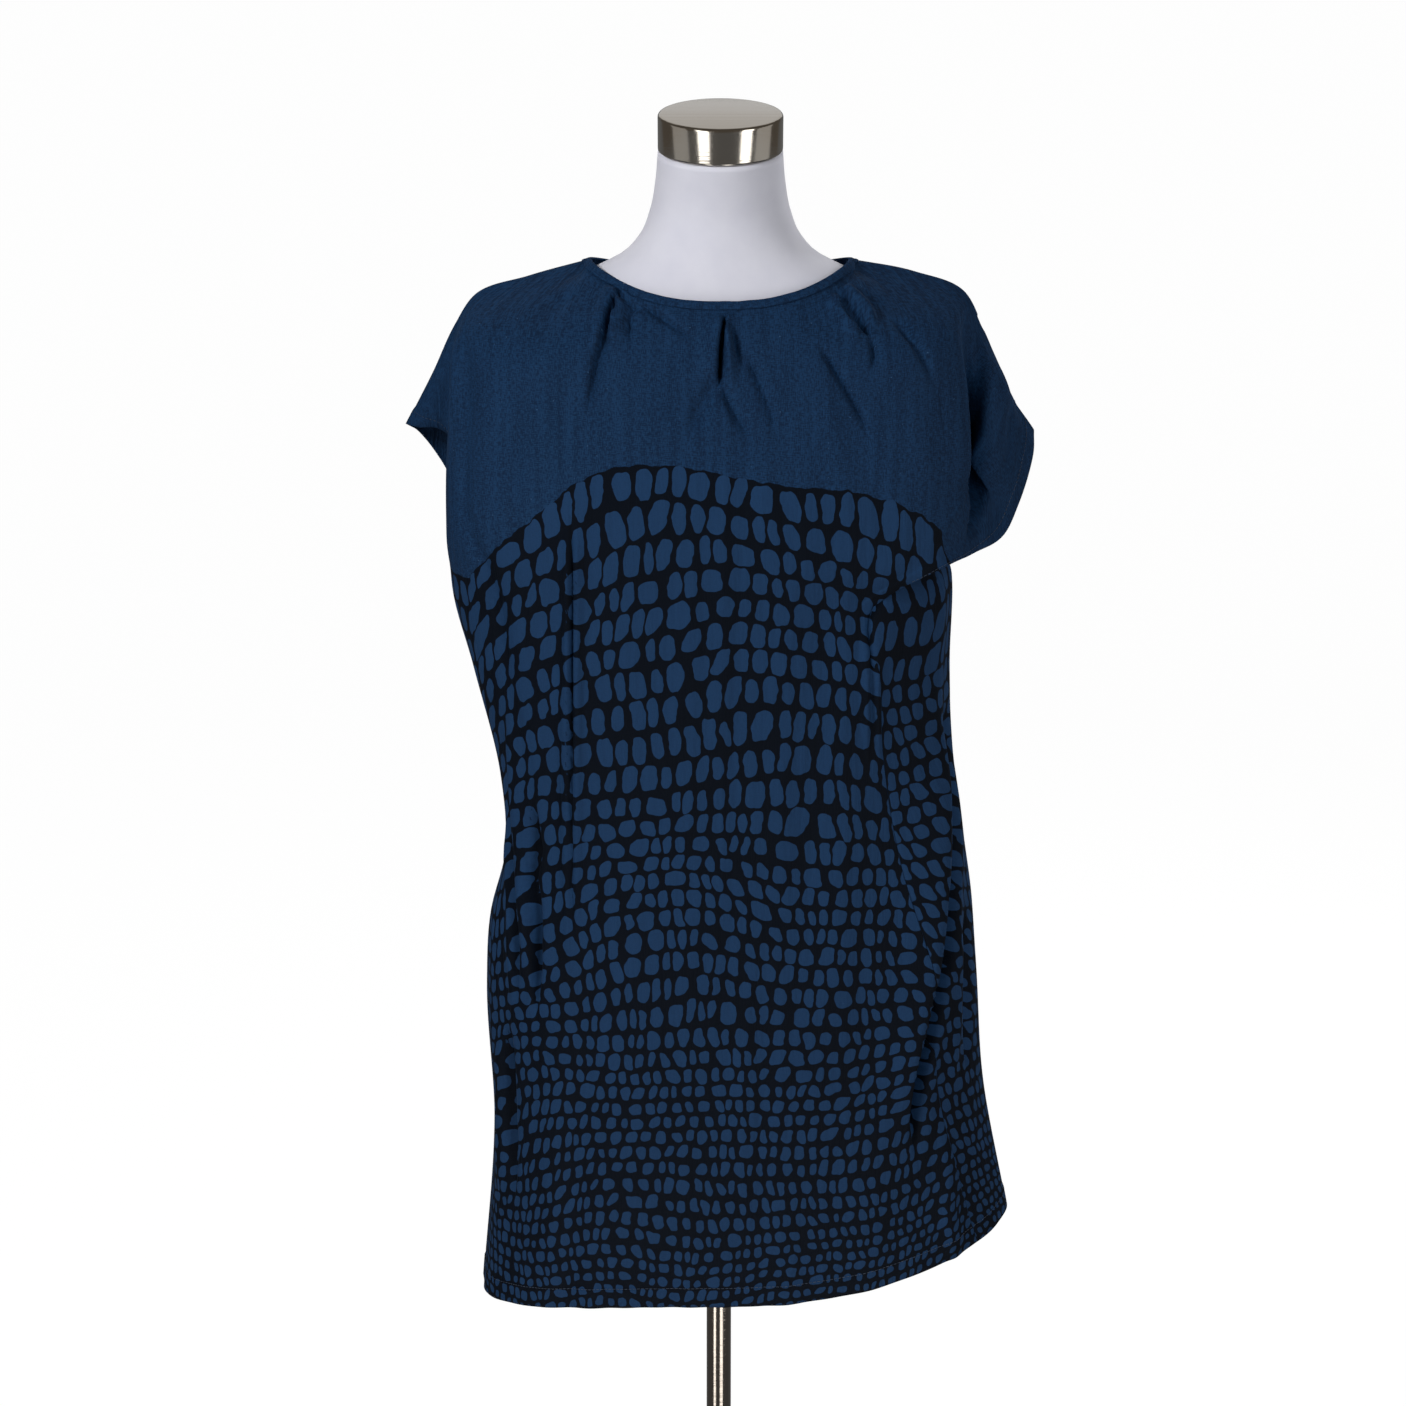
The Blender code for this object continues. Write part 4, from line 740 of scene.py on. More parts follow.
    def clear_of_form(self, grid: Grid, gap: float) -> Grid:
        """Moves a grid out where it lies too near the form.

        Args:
            grid: Points of the cloth's inside.
            gap: Least room between the cloth and the form.

        Returns:
            The moved grid.
        """
        probe = 0.0005
        for _ in range(5):
            flat = grid.reshape(-1, 3)
            rise = np.stack(
                [(form_reach(flat + s) - form_reach(flat - s)) / (2 * probe) for s in np.eye(3) * probe], 1
            )
            steep = np.maximum(np.linalg.norm(rise, axis=1), 1e-6)
            lack = np.maximum(gap - (form_reach(flat) - 1) / steep, 0)
            grid = grid + (lack / steep)[:, None].repeat(3, 1).reshape(grid.shape) * rise.reshape(grid.shape)
        return grid

    def flat_places(self, grid: Grid) -> Grid:
        """Where each point lies on the flat cloth, across from the middle and up from the hem."""
        middle = grid.shape[1] // 2
        steps = np.linalg.norm(np.diff(grid, axis=1), axis=2)
        run = np.concatenate([np.zeros((len(grid), 1)), np.cumsum(steps, axis=1)], 1)
        across = run - run[:, middle : middle + 1]
        drop = run_of(grid[:, middle])
        up = (drop[-1] - drop)[:, None].repeat(grid.shape[1], 1)
        return np.stack([across, up], 2)

    def parted(self, grid: Grid) -> Grid:
        """Draws a panel back from its seams, so that two panels leave a thin gap."""
        drawn = grid.copy()
        drawn[:, 0] += 0.5 * self.seam_gap * unit(grid[:, 1] - grid[:, 0])
        drawn[:, -1] += 0.5 * self.seam_gap * unit(grid[:, -2] - grid[:, -1])
        drawn[0] += 0.5 * self.seam_gap * unit(grid[1] - grid[0])
        return drawn

    def draped(self) -> dict[Panel, PanelGrid]:
        """Both panels, draped and creased."""
        smooth = self.joined(*self.surfaces())
        flats = [self.flat_places(grid) for grid in smooth]
        normals = self.seamed(*smooth)
        creased = self.joined(*(self.creased(grid, normal) for grid, normal in zip(smooth, normals)))
        clear = self.joined(*(self.clear_of_form(grid, self.form_gap) for grid in creased))
        normals = self.seamed(*clear)
        middle = len(self.shares()) - 1
        neck = range(middle - self.neck_columns, middle + self.neck_columns + 1)
        return {
            panel: PanelGrid(panel, self.parted(grid), normal, flat, neck)
            for panel, grid, normal, flat in zip(Panel, clear, normals, flats)
        }


# ---- Finishes -----------------------------------------------------------------------------------


def linear(hex_colour: str) -> tuple[float, float, float, float]:
    """An sRGB hex colour as linear RGBA."""
    parts = [int(hex_colour[i : i + 2], 16) / 255 for i in (1, 3, 5)]
    return (*(p / 12.92 if p <= 0.04045 else ((p + 0.055) / 1.055) ** 2.4 for p in parts), 1.0)


def add_node(tree: Any, kind: str, inputs: dict[Any, Any] | None = None, **settings: Any) -> Any:
    """Adds a shader node.

    Args:
        tree: The node tree.
        kind: The node's type name without its prefix.
        inputs: By socket name or number, a value or another node's output socket.
        settings: The node's own settings.

    Returns:
        The new node.
    """
    node = tree.nodes.new("ShaderNode" + kind)
    for name, value in settings.items():
        setattr(node, name, value)
    for key, value in (inputs or {}).items():
        if isinstance(value, bpy.types.NodeSocket):
            tree.links.new(value, node.inputs[key])
        else:
            node.inputs[key].default_value = value
    return node


def new_finish(name: str) -> tuple[Any, Any, Any]:
    """A new material, its node tree and its shader."""
    made = bpy.data.materials.new(name)
    made.use_nodes = True
    return made, made.node_tree, made.node_tree.nodes["Principled BSDF"]


@dataclass(frozen=True)
class CrepeGround:
    """Colours and yarn sizes shared by every face of the woven viscose crepe."""

    ground: str = "#0F243D"
    slub: str = "#122B47"
    shade: str = "#0A1B30"
    lint: str = "#35506E"
    slub_width_mm: float = 0.8  # an uneven yarn is half that; this is as fine as it shows
    slub_length_mm: float = 4.0
    rub_width_mm: float = 7.0  # wear lightens the cloth in soft streaks along the warp
    rub_length_mm: float = 90.0
    lint_mm: float = 2.6
    grain_mm: float = 1.1

    def noise(self, tree: Any, place: Any, width_mm: float, length_mm: float, detail: float = 2.0) -> Any:
        """Noise stretched to a width across the cloth and a length up it."""
        stretch = add_node(tree, "Mapping", {"Vector": place, "Scale": (1000 / width_mm, 1000 / length_mm, 1)})
        return add_node(tree, "TexNoise", {"Vector": stretch.outputs[0], "Scale": 1.0, "Detail": detail}).outputs[0]

    def colour(self, tree: Any, place: Any) -> Any:
        """The dyed ground with slubs in both directions, rubbed streaks and a little lint.

        Args:
            tree: The node tree.
            place: Socket with the place on the flat cloth in metres.

        Returns:
            A colour socket.
        """
        warp = self.noise(tree, place, self.slub_width_mm, self.slub_length_mm)
        weft = self.noise(tree, place, self.slub_length_mm, self.slub_width_mm)
        rub = self.noise(tree, place, self.rub_width_mm, self.rub_length_mm)
        yarns = add_node(tree, "Math", {0: warp, 1: weft}, operation="ADD").outputs[0]
        # the two yarn noises add up to about 1, and the rub shifts them by a fifth of its own swing
        both = add_node(tree, "Math", {0: rub, 1: 0.45, 2: yarns}, operation="MULTIPLY_ADD").outputs[0]
        ramp = add_node(tree, "ValToRGB", {"Fac": add_node(tree, "Math", {0: both, 1: 0.5}, operation="MULTIPLY").outputs[0]})
        low, high = ramp.color_ramp.elements
        low.position, low.color = 0.54, linear(self.shade)
        high.position, high.color = 0.69, linear(self.slub)
        middle = ramp.color_ramp.elements.new(0.61)
        middle.color = linear(self.ground)
        speck = self.noise(tree, place, self.lint_mm, self.lint_mm, 1.0)
        caught = add_node(tree, "MapRange", {0: speck, 1: 0.755, 2: 0.80, 3: 0.0, 4: 0.6}).outputs[0]
        return add_node(tree, "Mix", {0: caught, 6: ramp.outputs[0], 7: linear(self.lint)}, data_type="RGBA").outputs[2]

    def bump(self, tree: Any, place: Any) -> Any:
        """The crepe's pebbled grain and its faint drag lines down the cloth, as a normal.

        Args:
            tree: The node tree.
            place: Socket with the place on the flat cloth in metres.

        Returns:
            A normal socket.
        """
        grain = self.noise(tree, place, self.grain_mm, self.grain_mm)
        drag = self.noise(tree, place, 6.0, 48.0, 2.5)
        soft = self.noise(tree, place, 14.0, 22.0)
        small = add_node(tree, "Bump", {"Height": grain, "Strength": 0.30, "Distance": 0.0004})
        lines = add_node(
            tree, "Bump", {"Height": drag, "Strength": 0.60, "Distance": 0.0022, "Normal": small.outputs[0]}
        )
        return add_node(
            tree, "Bump", {"Height": soft, "Strength": 0.35, "Distance": 0.0016, "Normal": lines.outputs[0]}
        ).outputs[0]


@dataclass(frozen=True)
class PrintedCrepe:
    """Woven viscose crepe, piece-dyed blue, with a screen print of rounded pebbles on near-black.

    The print is a generic one: gently bowed rows of pebbles, tall under the yoke and small at the hem.
    """

    ground: CrepeGround = CrepeGround()
    pebble: str = "#162E4B"
    line: str = "#03070F"
    top_line_mm: float = 3.9
    hem_line_mm: float = 3.5
    top_width_mm: float = 17.0
    hem_width_mm: float = 10.0
    top_height_mm: float = 28.0
    hem_height_mm: float = 11.0
    roundness: float = 2.7  # 2 would draw each pebble as an ellipse
    print_top: float = 0.708  # up from the hem at the panel's middle
    print_fall: float = 0.35  # how fast the top row falls away from the middle, per metre
    print_drop: float = 34.0  # how much faster it drops near the sides, per cubic metre
    print_reach: float = 0.22  # across from the middle, beyond which they fall no further

    def made(self, name: str) -> bpy.types.Material:
        """The finish as a material.

        Args:
            name: The material's name.

        Returns:
            The material.
        """
        made, tree, shader = new_finish(name)
        place = add_node(tree, "UVMap", uv_map="flat").outputs[0]
        base = self.ground.colour(tree, place)
        printed, pebble = self.pebbles(tree, place)
        mottle = add_node(tree, "Mix", {0: 0.80, 6: base, 7: linear(self.pebble)}, data_type="RGBA")
        inked = add_node(
            tree, "Mix", {0: pebble, 6: linear(self.line), 7: mottle.outputs[2]}, data_type="RGBA"
        )
        both = add_node(tree, "Mix", {0: printed, 6: base, 7: inked.outputs[2]}, data_type="RGBA")
        tree.links.new(both.outputs[2], shader.inputs["Base Color"])
        tree.links.new(self.ground.bump(tree, place), shader.inputs["Normal"])
        shader.inputs["Roughness"].default_value = 0.80
        shader.inputs["Specular IOR Level"].default_value = 0.06
        shader.inputs["Sheen Weight"].default_value = 0.012
        shader.inputs["Sheen Roughness"].default_value = 0.45
        shader.inputs["Sheen Tint"].default_value = linear("#6E8FB8")
        return made

    def pebbles(self, tree: Any, place: Any) -> tuple[Any, Any]:
        """Where the cloth is printed and where a pebble leaves the blue showing.

        Args:
            tree: The node tree.
            place: Socket with the place on the flat cloth in metres.

        Returns:
            A socket that is 1 inside the print, and one that is 1 on a pebble.
        """

        def calc(kind: str, *values: Any) -> Any:
            return add_node(tree, "Math", dict(enumerate(values)), operation=kind).outputs[0]

        # a hand's drift in the rows, and a small wobble in every outline
        drift = add_node(tree, "TexNoise", {"Vector": place, "Scale": 7.0, "Detail": 0.0}).outputs[1]
        wobble = add_node(tree, "TexNoise", {"Vector": place, "Scale": 85.0, "Detail": 1.0}).outputs[1]
        half = (0.5, 0.5, 0.5)
        drifted = add_node(tree, "VectorMath", {0: drift, 1: half}, operation="SUBTRACT").outputs[0]
        wobbled = add_node(tree, "VectorMath", {0: wobble, 1: half}, operation="SUBTRACT").outputs[0]
        first = add_node(
            tree, "VectorMath", {0: drifted, 1: (0.030, 0.050, 0), 2: place}, operation="MULTIPLY_ADD"
        ).outputs[0]
        drawn = add_node(
            tree, "VectorMath", {0: wobbled, 1: (0.0055, 0.0060, 0), 2: first}, operation="MULTIPLY_ADD"
        ).outputs[0]
        part = add_node(tree, "SeparateXYZ", {0: drawn})
        across = part.outputs[0]
        reach = calc("MINIMUM", calc("ABSOLUTE", across), self.print_reach)
        squared = calc("MULTIPLY", reach, reach)
        fall = calc("MULTIPLY", squared, calc("MULTIPLY_ADD", squared, self.print_drop, self.print_fall))
        up = calc("MULTIPLY", part.outputs[1], calc("MULTIPLY_ADD", fall, 1 / self.print_top, 1.0))

        # rows grow taller upwards, so their count runs as a logarithm
        low, tall = self.hem_height_mm / 1000, self.top_height_mm / 1000
        growth = (tall - low) / self.print_top
        height = calc("MULTIPLY_ADD", up, growth, low)
        rows_below = math.log((low + growth * self.print_top) / low) / growth
        risen = calc("LOGARITHM", calc("MAXIMUM", calc("DIVIDE", height, low), 0.05), math.e)
        count = calc("SUBTRACT", calc("DIVIDE", risen, growth), rows_below)
        row = calc("FLOOR", count)
        in_row = calc("SUBTRACT", calc("SUBTRACT", count, row), 0.5)
        from_hem = calc("ADD", row, rows_below + 0.5)
        row_height = calc("MULTIPLY", calc("POWER", math.e, calc("MULTIPLY", from_hem, growth)), low)
        row_up = calc("DIVIDE", calc("SUBTRACT", row_height, low), growth)
        share = calc("DIVIDE", row_up, self.print_top)

        # each row has its own pebble width and starts at its own place
        narrow, wide = self.hem_width_mm / 1000, self.top_width_mm / 1000
        width = calc("MULTIPLY_ADD", share, wide - narrow, narrow)
        start = add_node(tree, "TexWhiteNoise", {"W": row}, noise_dimensions="1D").outputs[0]
        stagger = calc("MULTIPLY_ADD", start, 0.4, calc("MULTIPLY", row, 0.5))
        even = calc("ADD", calc("DIVIDE", across, width), stagger)
        crowd_at = add_node(tree, "CombineXYZ", {0: calc("MULTIPLY", even, 0.42), 1: calc("MULTIPLY", row, 3.7), 2: 0.0})
        crowd = add_node(tree, "TexNoise", {"Vector": crowd_at.outputs[0], "Scale": 1.0, "Detail": 0.0}).outputs[0]
        along_row = calc("MULTIPLY_ADD", crowd, 1.5, even)
        column = calc("FLOOR", along_row)
        in_column = calc("SUBTRACT", calc("SUBTRACT", along_row, column), 0.5)

        own = add_node(tree, "CombineXYZ", {0: column, 1: row, 2: 0.37}).outputs[0]
        chance = add_node(tree, "TexWhiteNoise", {"Vector": own}, noise_dimensions="3D").outputs[1]
        luck = add_node(tree, "SeparateXYZ", {0: chance})
        side, lift, grow = luck.outputs[0], luck.outputs[1], luck.outputs[2]
        lean = calc("MULTIPLY", calc("SUBTRACT", side, lift), 0.42)
        x = calc("ADD", calc("SUBTRACT", in_column, calc("MULTIPLY_ADD", side, 0.10, -0.05)), calc("MULTIPLY", in_row, lean))
        y = calc("SUBTRACT", in_row, calc("MULTIPLY_ADD", lift, 0.14, -0.07))

        # half sizes of the pebble inside its place, less half the line round it
        line = calc("MULTIPLY_ADD", share, (self.top_line_mm - self.hem_line_mm) / 2000, self.hem_line_mm / 2000)
        more = calc("MULTIPLY_ADD", grow, 0.10, -0.05)
        half_wide = calc("ADD", calc("SUBTRACT", 0.5, calc("DIVIDE", line, width)), more)
        half_tall = calc("ADD", calc("SUBTRACT", 0.5, calc("DIVIDE", line, row_height)), more)
        out = calc("POWER", calc("ABSOLUTE", calc("DIVIDE", x, half_wide)), self.roundness)
        rise = calc("POWER", calc("ABSOLUTE", calc("DIVIDE", y, half_tall)), self.roundness)
        pebble = calc("LESS_THAN", calc("ADD", out, rise), 1.0)

        printed = calc("LESS_THAN", count, 0.0)
        return printed, pebble


@dataclass(frozen=True)
class PlainCrepe:
    """The same woven viscose crepe without print: its reverse, the binding and the hems' inside."""

    ground: CrepeGround = CrepeGround()

    def made(self, name: str) -> bpy.types.Material:
        """The finish as a material."""
        made, tree, shader = new_finish(name)
        place = add_node(tree, "UVMap", uv_map="flat").outputs[0]
        tree.links.new(self.ground.colour(tree, place), shader.inputs["Base Color"])
        tree.links.new(self.ground.bump(tree, place), shader.inputs["Normal"])
        shader.inputs["Roughness"].default_value = 0.84
        shader.inputs["Specular IOR Level"].default_value = 0.06
        shader.inputs["Sheen Weight"].default_value = 0.012
        shader.inputs["Sheen Roughness"].default_value = 0.45
        shader.inputs["Sheen Tint"].default_value = linear("#6E8FB8")
        return made


@dataclass(frozen=True)
class SewingThread:
    """Spun polyester thread, a shade darker than the cloth: short slightly glossy dashes."""

    colour: str = "#14243A"

    def made(self, name: str) -> bpy.types.Material:
        """The finish as a material."""
        made, tree, shader = new_finish(name)
        place = add_node(tree, "TexCoord").outputs["Object"]
        ply = add_node(tree, "TexNoise", {"Vector": place, "Scale": 900.0, "Detail": 1.0})
        ramp = add_node(tree, "ValToRGB", {"Fac": ply.outputs[0]})
        ramp.color_ramp.elements[0].color = linear("#0E1A2B")
        ramp.color_ramp.elements[1].color = linear(self.colour)
        tree.links.new(ramp.outputs[0], shader.inputs["Base Color"])
        shader.inputs["Roughness"].default_value = 0.55
        return made


@dataclass(frozen=True)
class JerseyCover:
    """White elastane jersey stretched smooth over the form: very fine ribs, no shine."""

    colour: str = "#BCBCC4"
    shade: str = "#AFAFBA"
    wale_mm: float = 1.4  # a real wale is about 0.5 mm; this is as fine as it shows

    def made(self, name: str) -> bpy.types.Material:
        """The finish as a material."""
        made, tree, shader = new_finish(name)
        place = add_node(tree, "TexCoord").outputs["Object"]
        cloud = add_node(tree, "TexNoise", {"Vector": place, "Scale": 45.0, "Detail": 3.0})
        ramp = add_node(tree, "ValToRGB", {"Fac": cloud.outputs[0]})
        ramp.color_ramp.elements[0].color = linear(self.shade)
        ramp.color_ramp.elements[1].color = linear(self.colour)
        wales = add_node(
            tree, "TexWave", {"Vector": place, "Scale": 1000 / self.wale_mm / 20, "Distortion": 0.4}, bands_direction="X"
        )
        bump = add_node(tree, "Bump", {"Height": wales.outputs[1], "Strength": 0.12, "Distance": 0.0002})
        tree.links.new(ramp.outputs[0], shader.inputs["Base Color"])
        tree.links.new(bump.outputs[0], shader.inputs["Normal"])
        shader.inputs["Roughness"].default_value = 0.85
        shader.inputs["Sheen Weight"].default_value = 0.15
        return made


@dataclass(frozen=True)
class PolishedSteel:
    """Stainless steel, turned and polished: fine rings round it draw reflections out lengthwise."""

    colour: str = "#A39D94"
    roughness: float = 0.13
    grain_mm: float = 0.8
    ring_mm: float = 1.2  # real turning marks are far finer; this is as fine as it shows
    ring_depth_mm: float = 0.12

    def made(self, name: str) -> bpy.types.Material:
        """The finish as a material."""
        made, tree, shader = new_finish(name)
        place = add_node(tree, "TexCoord").outputs["Object"]
        fine = 1000 / self.grain_mm
        streaks = add_node(tree, "Mapping", {"Vector": place, "Scale": (fine, fine, fine / 60)})
        grain = add_node(tree, "TexNoise", {"Vector": streaks.outputs[0], "Scale": 1.0, "Detail": 2.0})
        level = add_node(
            tree, "MapRange", {0: grain.outputs[0], 1: 0.3, 2: 0.7, 3: self.roughness - 0.04, 4: self.roughness + 0.05}
        )
        turned = add_node(tree, "Mapping", {"Vector": place, "Scale": (0, 0, 1000 / self.ring_mm)})
        rings = add_node(tree, "TexNoise", {"Vector": turned.outputs[0], "Scale": 1.0, "Detail": 1.0})
        bump = add_node(
            tree, "Bump", {"Height": rings.outputs[0], "Strength": 1.0, "Distance": self.ring_depth_mm / 1000}
        )
        tree.links.new(bump.outputs[0], shader.inputs["Normal"])
        shader.inputs["Base Color"].default_value = linear(self.colour)
        shader.inputs["Metallic"].default_value = 1.0
        tree.links.new(level.outputs[0], shader.inputs["Roughness"])
        return made


@dataclass(frozen=True)
class StudioPaper:
    """Matte background paper, lit evenly enough to look white, that throws little light back."""

    colour: str = "#B4B4B4"
    seen: float = 0.93  # share of its look that is the even light on it
    mirrored: float = 0.17  # how bright the steel mirrors it

    def made(self, name: str) -> bpy.types.Material:
        """The finish as a material."""
        made, tree, shader = new_finish(name)
        shader.inputs["Base Color"].default_value = linear(self.colour)
        shader.inputs["Roughness"].default_value = 0.95
        shader.inputs["Specular IOR Level"].default_value = 0.0
        ray = add_node(tree, "LightPath")
        seen, glossy = ray.outputs["Is Camera Ray"], ray.outputs["Is Glossy Ray"]
        share = add_node(tree, "Math", {0: seen, 1: self.seen, 2: glossy}, operation="MULTIPLY_ADD")
        dim = add_node(tree, "Math", {0: glossy, 1: self.mirrored}, operation="MULTIPLY")
        bright = add_node(tree, "Math", {0: seen, 1: 1.05, 2: dim.outputs[0]}, operation="MULTIPLY_ADD")
        even = add_node(tree, "Emission", {0: linear("#FFFFFF"), 1: bright.outputs[0]})
        both = add_node(tree, "MixShader", {0: share.outputs[0], 1: shader.outputs[0], 2: even.outputs[0]})
        tree.links.new(both.outputs[0], tree.nodes["Material Output"].inputs[0])
        return made


# ---- Pieces -------------------------------------------------------------------------------------


def piece_of(
    name: str,
    points: np.ndarray,
    faces: Sequence[Sequence[int]],
    finishes: Sequence[bpy.types.Material],
    flat: np.ndarray | None = None,
    slots: Sequence[int] | None = None,
) -> bpy.types.Object:
    """Makes a smooth-shaded piece at the origin.

    Args:
        name: The piece's name.
        points: Its points.
        faces: Its faces as point numbers.
        finishes: Its materials.
        flat: For each point, its place on the flat cloth.
        slots: For each face, the number of its material.

    Returns:
        The new object.
    """
    mesh = bpy.data.meshes.new(name)
    mesh.from_pydata(points.tolist(), [], [list(face) for face in faces])
    for finish in finishes:
        mesh.materials.append(finish)
    if slots is not None:
        mesh.polygons.foreach_set("material_index", np.asarray(slots, np.int32))
    if flat is not None:
        layer = mesh.uv_layers.new(name="flat")
        corner = np.empty(len(mesh.loops), np.int32)
        mesh.loops.foreach_get("vertex_index", corner)
        layer.data.foreach_set("uv", np.asarray(flat, float)[corner].ravel())
    mesh.shade_smooth()
    mesh.update()
    made = bpy.data.objects.new(name, mesh)
    bpy.context.scene.collection.objects.link(made)
    return made


def outward(made: bpy.types.Object) -> None:
    """Turns a closed piece's faces to point outwards."""
    bm = bmesh.new()
    bm.from_mesh(made.data)
    if bm.calc_volume(signed=True) < 0:
        bmesh.ops.reverse_faces(bm, faces=bm.faces)
    bm.to_mesh(made.data)
    bm.free()


@dataclass
class PanelCloth:
    """A panel of the tunic as a thin wall with turned hems."""

    grid: PanelGrid
    node: str
    flat_size: tuple[float, float]
    flat_area: float
    cloth: float = 0.0009
    hem_cloth: float = 0.0007  # extra thickness where the hem is turned up
    hem_width: float = 0.018
    sleeve_hem_width: float = 0.016
    stitch_dip: float = 0.00035

    def thickness(self) -> Grid:
        """The wall's thickness at each point: more in the hems, less along their stitch lines."""
        rows, columns = self.grid.inside.shape[:2]
        up = self.grid.flat[..., 1]
        thick = np.full((rows, columns), self.cloth)
        edge = self.edge_distance()
        for distance, width in ((up, self.hem_width), (edge, self.sleeve_hem_width)):
            inside = smooth_step((width + 0.002 - distance) / 0.003)
            thick = thick + self.hem_cloth * inside * (thick < self.cloth + 0.5 * self.hem_cloth)
            thick = thick - self.stitch_dip * np.exp(-(((distance - width) / 0.0016) ** 2))
        return np.maximum(thick, 0.0005)

    def edge_distance(self) -> Grid:
        """How far each point lies from the sleeve's hem, large below the underarm."""
        flat = self.grid.flat
        across = np.abs(flat[..., 0])
        reach = np.maximum(across[:, :1], across[:, -1:])
        left = np.where(flat[..., 0] < 0, across[:, :1], across[:, -1:]) - across
        rows = np.arange(flat.shape[0])[:, None]
        return np.where(rows <= CUT.upper_rows, left, reach + 1.0)

    def build(self, finishes: Sequence[bpy.types.Material]) -> bpy.types.Object:
        """Args:
            finishes: The outer finish and the reverse's finish.

        Returns:
            The panel.
        """
        inside = self.grid.inside
        rows, columns = inside.shape[:2]
        outside = self.grid.outside(self.thickness())
        points = np.concatenate([outside.reshape(-1, 3), inside.reshape(-1, 3)])
        flat = np.tile(self.grid.flat.reshape(-1, 2), (2, 1))
        number = np.arange(rows * columns).reshape(rows, columns)
        quads = np.stack([number[:-1, :-1], number[1:, :-1], number[1:, 1:], number[:-1, 1:]], -1).reshape(-1, 4)
        inner = quads[:, ::-1] + rows * columns
        rim_line = np.concatenate([number[0], number[1:, -1], number[-1, -2::-1], number[-2:0:-1, 0]])
        following = np.roll(rim_line, -1)
        rim = np.stack([rim_line, following, following + rows * columns, rim_line + rows * columns], -1)
        faces = np.concatenate([quads, inner, rim]).tolist()
        slots = [0] * len(quads) + [1] * (len(inner) + len(rim))
        made = piece_of(self.node + "_cloth", points, faces, finishes, flat, slots)
        outward(made)
        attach(made, "root")
        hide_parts(self.node)
        return made


@dataclass
class NeckBinding:
    """The neck binding: a narrow strip that lies on the panels and turns in over their edge."""

    grids: dict[Panel, PanelGrid]
    cloth: dict[Panel, Grid]  # the panels' thickness
    width: float = 0.0065
    strip: float = 0.0010
    gap: float = 0.0005
    piece_gap: float = 0.0003
    evening: int = 10

    def skin(self) -> BVHTree:
        """The outer faces of both panels near the neck, to search for the nearest place."""
        points, faces = [], []
        for panel, grid in self.grids.items():
            outside = grid.outside(self.cloth[panel])[:24]
            first, (rows, columns) = len(points), outside.shape[:2]
            points += [Vector(point) for point in outside.reshape(-1, 3)]
            for r in range(rows - 1):
                for c in range(columns - 1):
                    a = first + r * columns + c
                    faces.append((a, a + columns, a + columns + 1, a + 1))
        return BVHTree.FromPolygons(points, faces)

    def neckline(self) -> tuple[np.ndarray, np.ndarray]:
        """Points and outward normals once round the neck's edge."""
        edges = []
        for panel in (Panel.FRONT, Panel.BACK):
            grid = self.grids[panel]
            columns = list(grid.neck_columns)
            columns = columns if panel is Panel.FRONT else columns[::-1]
            edges.append(np.stack([grid.inside[0, columns], grid.normal[0, columns]], 1))
        front, back = edges
        at_right, at_left = 0.5 * (front[-1] + back[0]), 0.5 * (front[0] + back[-1])
        ring = np.concatenate([[at_left], front[1:-1], [at_right], back[1:-1]])
        return ring[:, 0], unit(ring[:, 1])

    def evened(self, rows: np.ndarray) -> np.ndarray:
        """Each row averaged with its neighbours, round a closed ring."""
        for _ in range(self.evening):
            rows = 0.5 * rows + 0.25 * (np.roll(rows, 1, 0) + np.roll(rows, -1, 0))
        return rows

    def build(self, finish: bpy.types.Material) -> bpy.types.Object:
        """Args:
            finish: The cloth's finish.

        Returns:
            The binding.
        """
        skin = self.skin()
        edges, outs = self.neckline()
        cloth = 0.0009
        tangents = unit(np.roll(edges, -1, 0) - np.roll(edges, 1, 0))
        outs = unit(outs - (outs * tangents).sum(1)[:, None] * tangents)
        aways = np.cross(tangents, outs)
        laid = []
        for share in (0.25, 0.5, 0.75, 0.94, 1.0):
            found = [skin.find_nearest(Vector(p)) for p in edges + share * self.width * aways + cloth * outs]
            place = np.array([each[0] for each in found])
            facing = np.array([each[1] for each in found])
            facing = unit(self.evened(facing * np.sign((facing * outs).sum(1))[:, None]))
            laid.append((place, facing))
        lie, top = self.gap, self.gap + self.strip
        crown = (0.10, 0.18, 0.12, 0.0, -0.35)
        outer = [p + (top + c * self.strip) * n for (p, n), c in zip(laid, crown)]
        under = [p + lie * n for p, n in laid]
        turn = 0.5 * (top + self.piece_gap)
        rings = outer[::-1] + [
            edges + (cloth + top) * outs,
            edges - 0.7 * top * aways + (cloth + 0.75 * top) * outs,
            edges - top * aways + (cloth + 0.2 * lie) * outs,
            edges - top * aways - 0.5 * turn * outs,
            edges - top * aways - turn * outs,
            edges - self.piece_gap * aways - turn * outs,
            edges - self.piece_gap * aways + (cloth + lie) * outs,
        ]
        rings += under
        loops = np.stack(rings, 1)
        count, sides = loops.shape[:2]
        number = np.arange(count * sides).reshape(count, sides)
        following, beside = np.roll(number, -1, 0), np.roll(number, -1, 1)
        faces = np.stack([number, following, np.roll(following, -1, 1), beside], -1).reshape(-1, 4)
        run = run_of(edges)
        around = np.repeat(np.append(run[:-1], run[-1])[:, None], sides, 1)
        girth = np.repeat(run_of(loops[0])[None], count, 0)
        flat = np.stack([around, girth], 2).reshape(-1, 2)
        made = piece_of("neck_binding_cloth", loops.reshape(-1, 3), faces.tolist(), [finish], flat)
        outward(made)
        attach(made, "root")
        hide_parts("neck_binding")
        return made


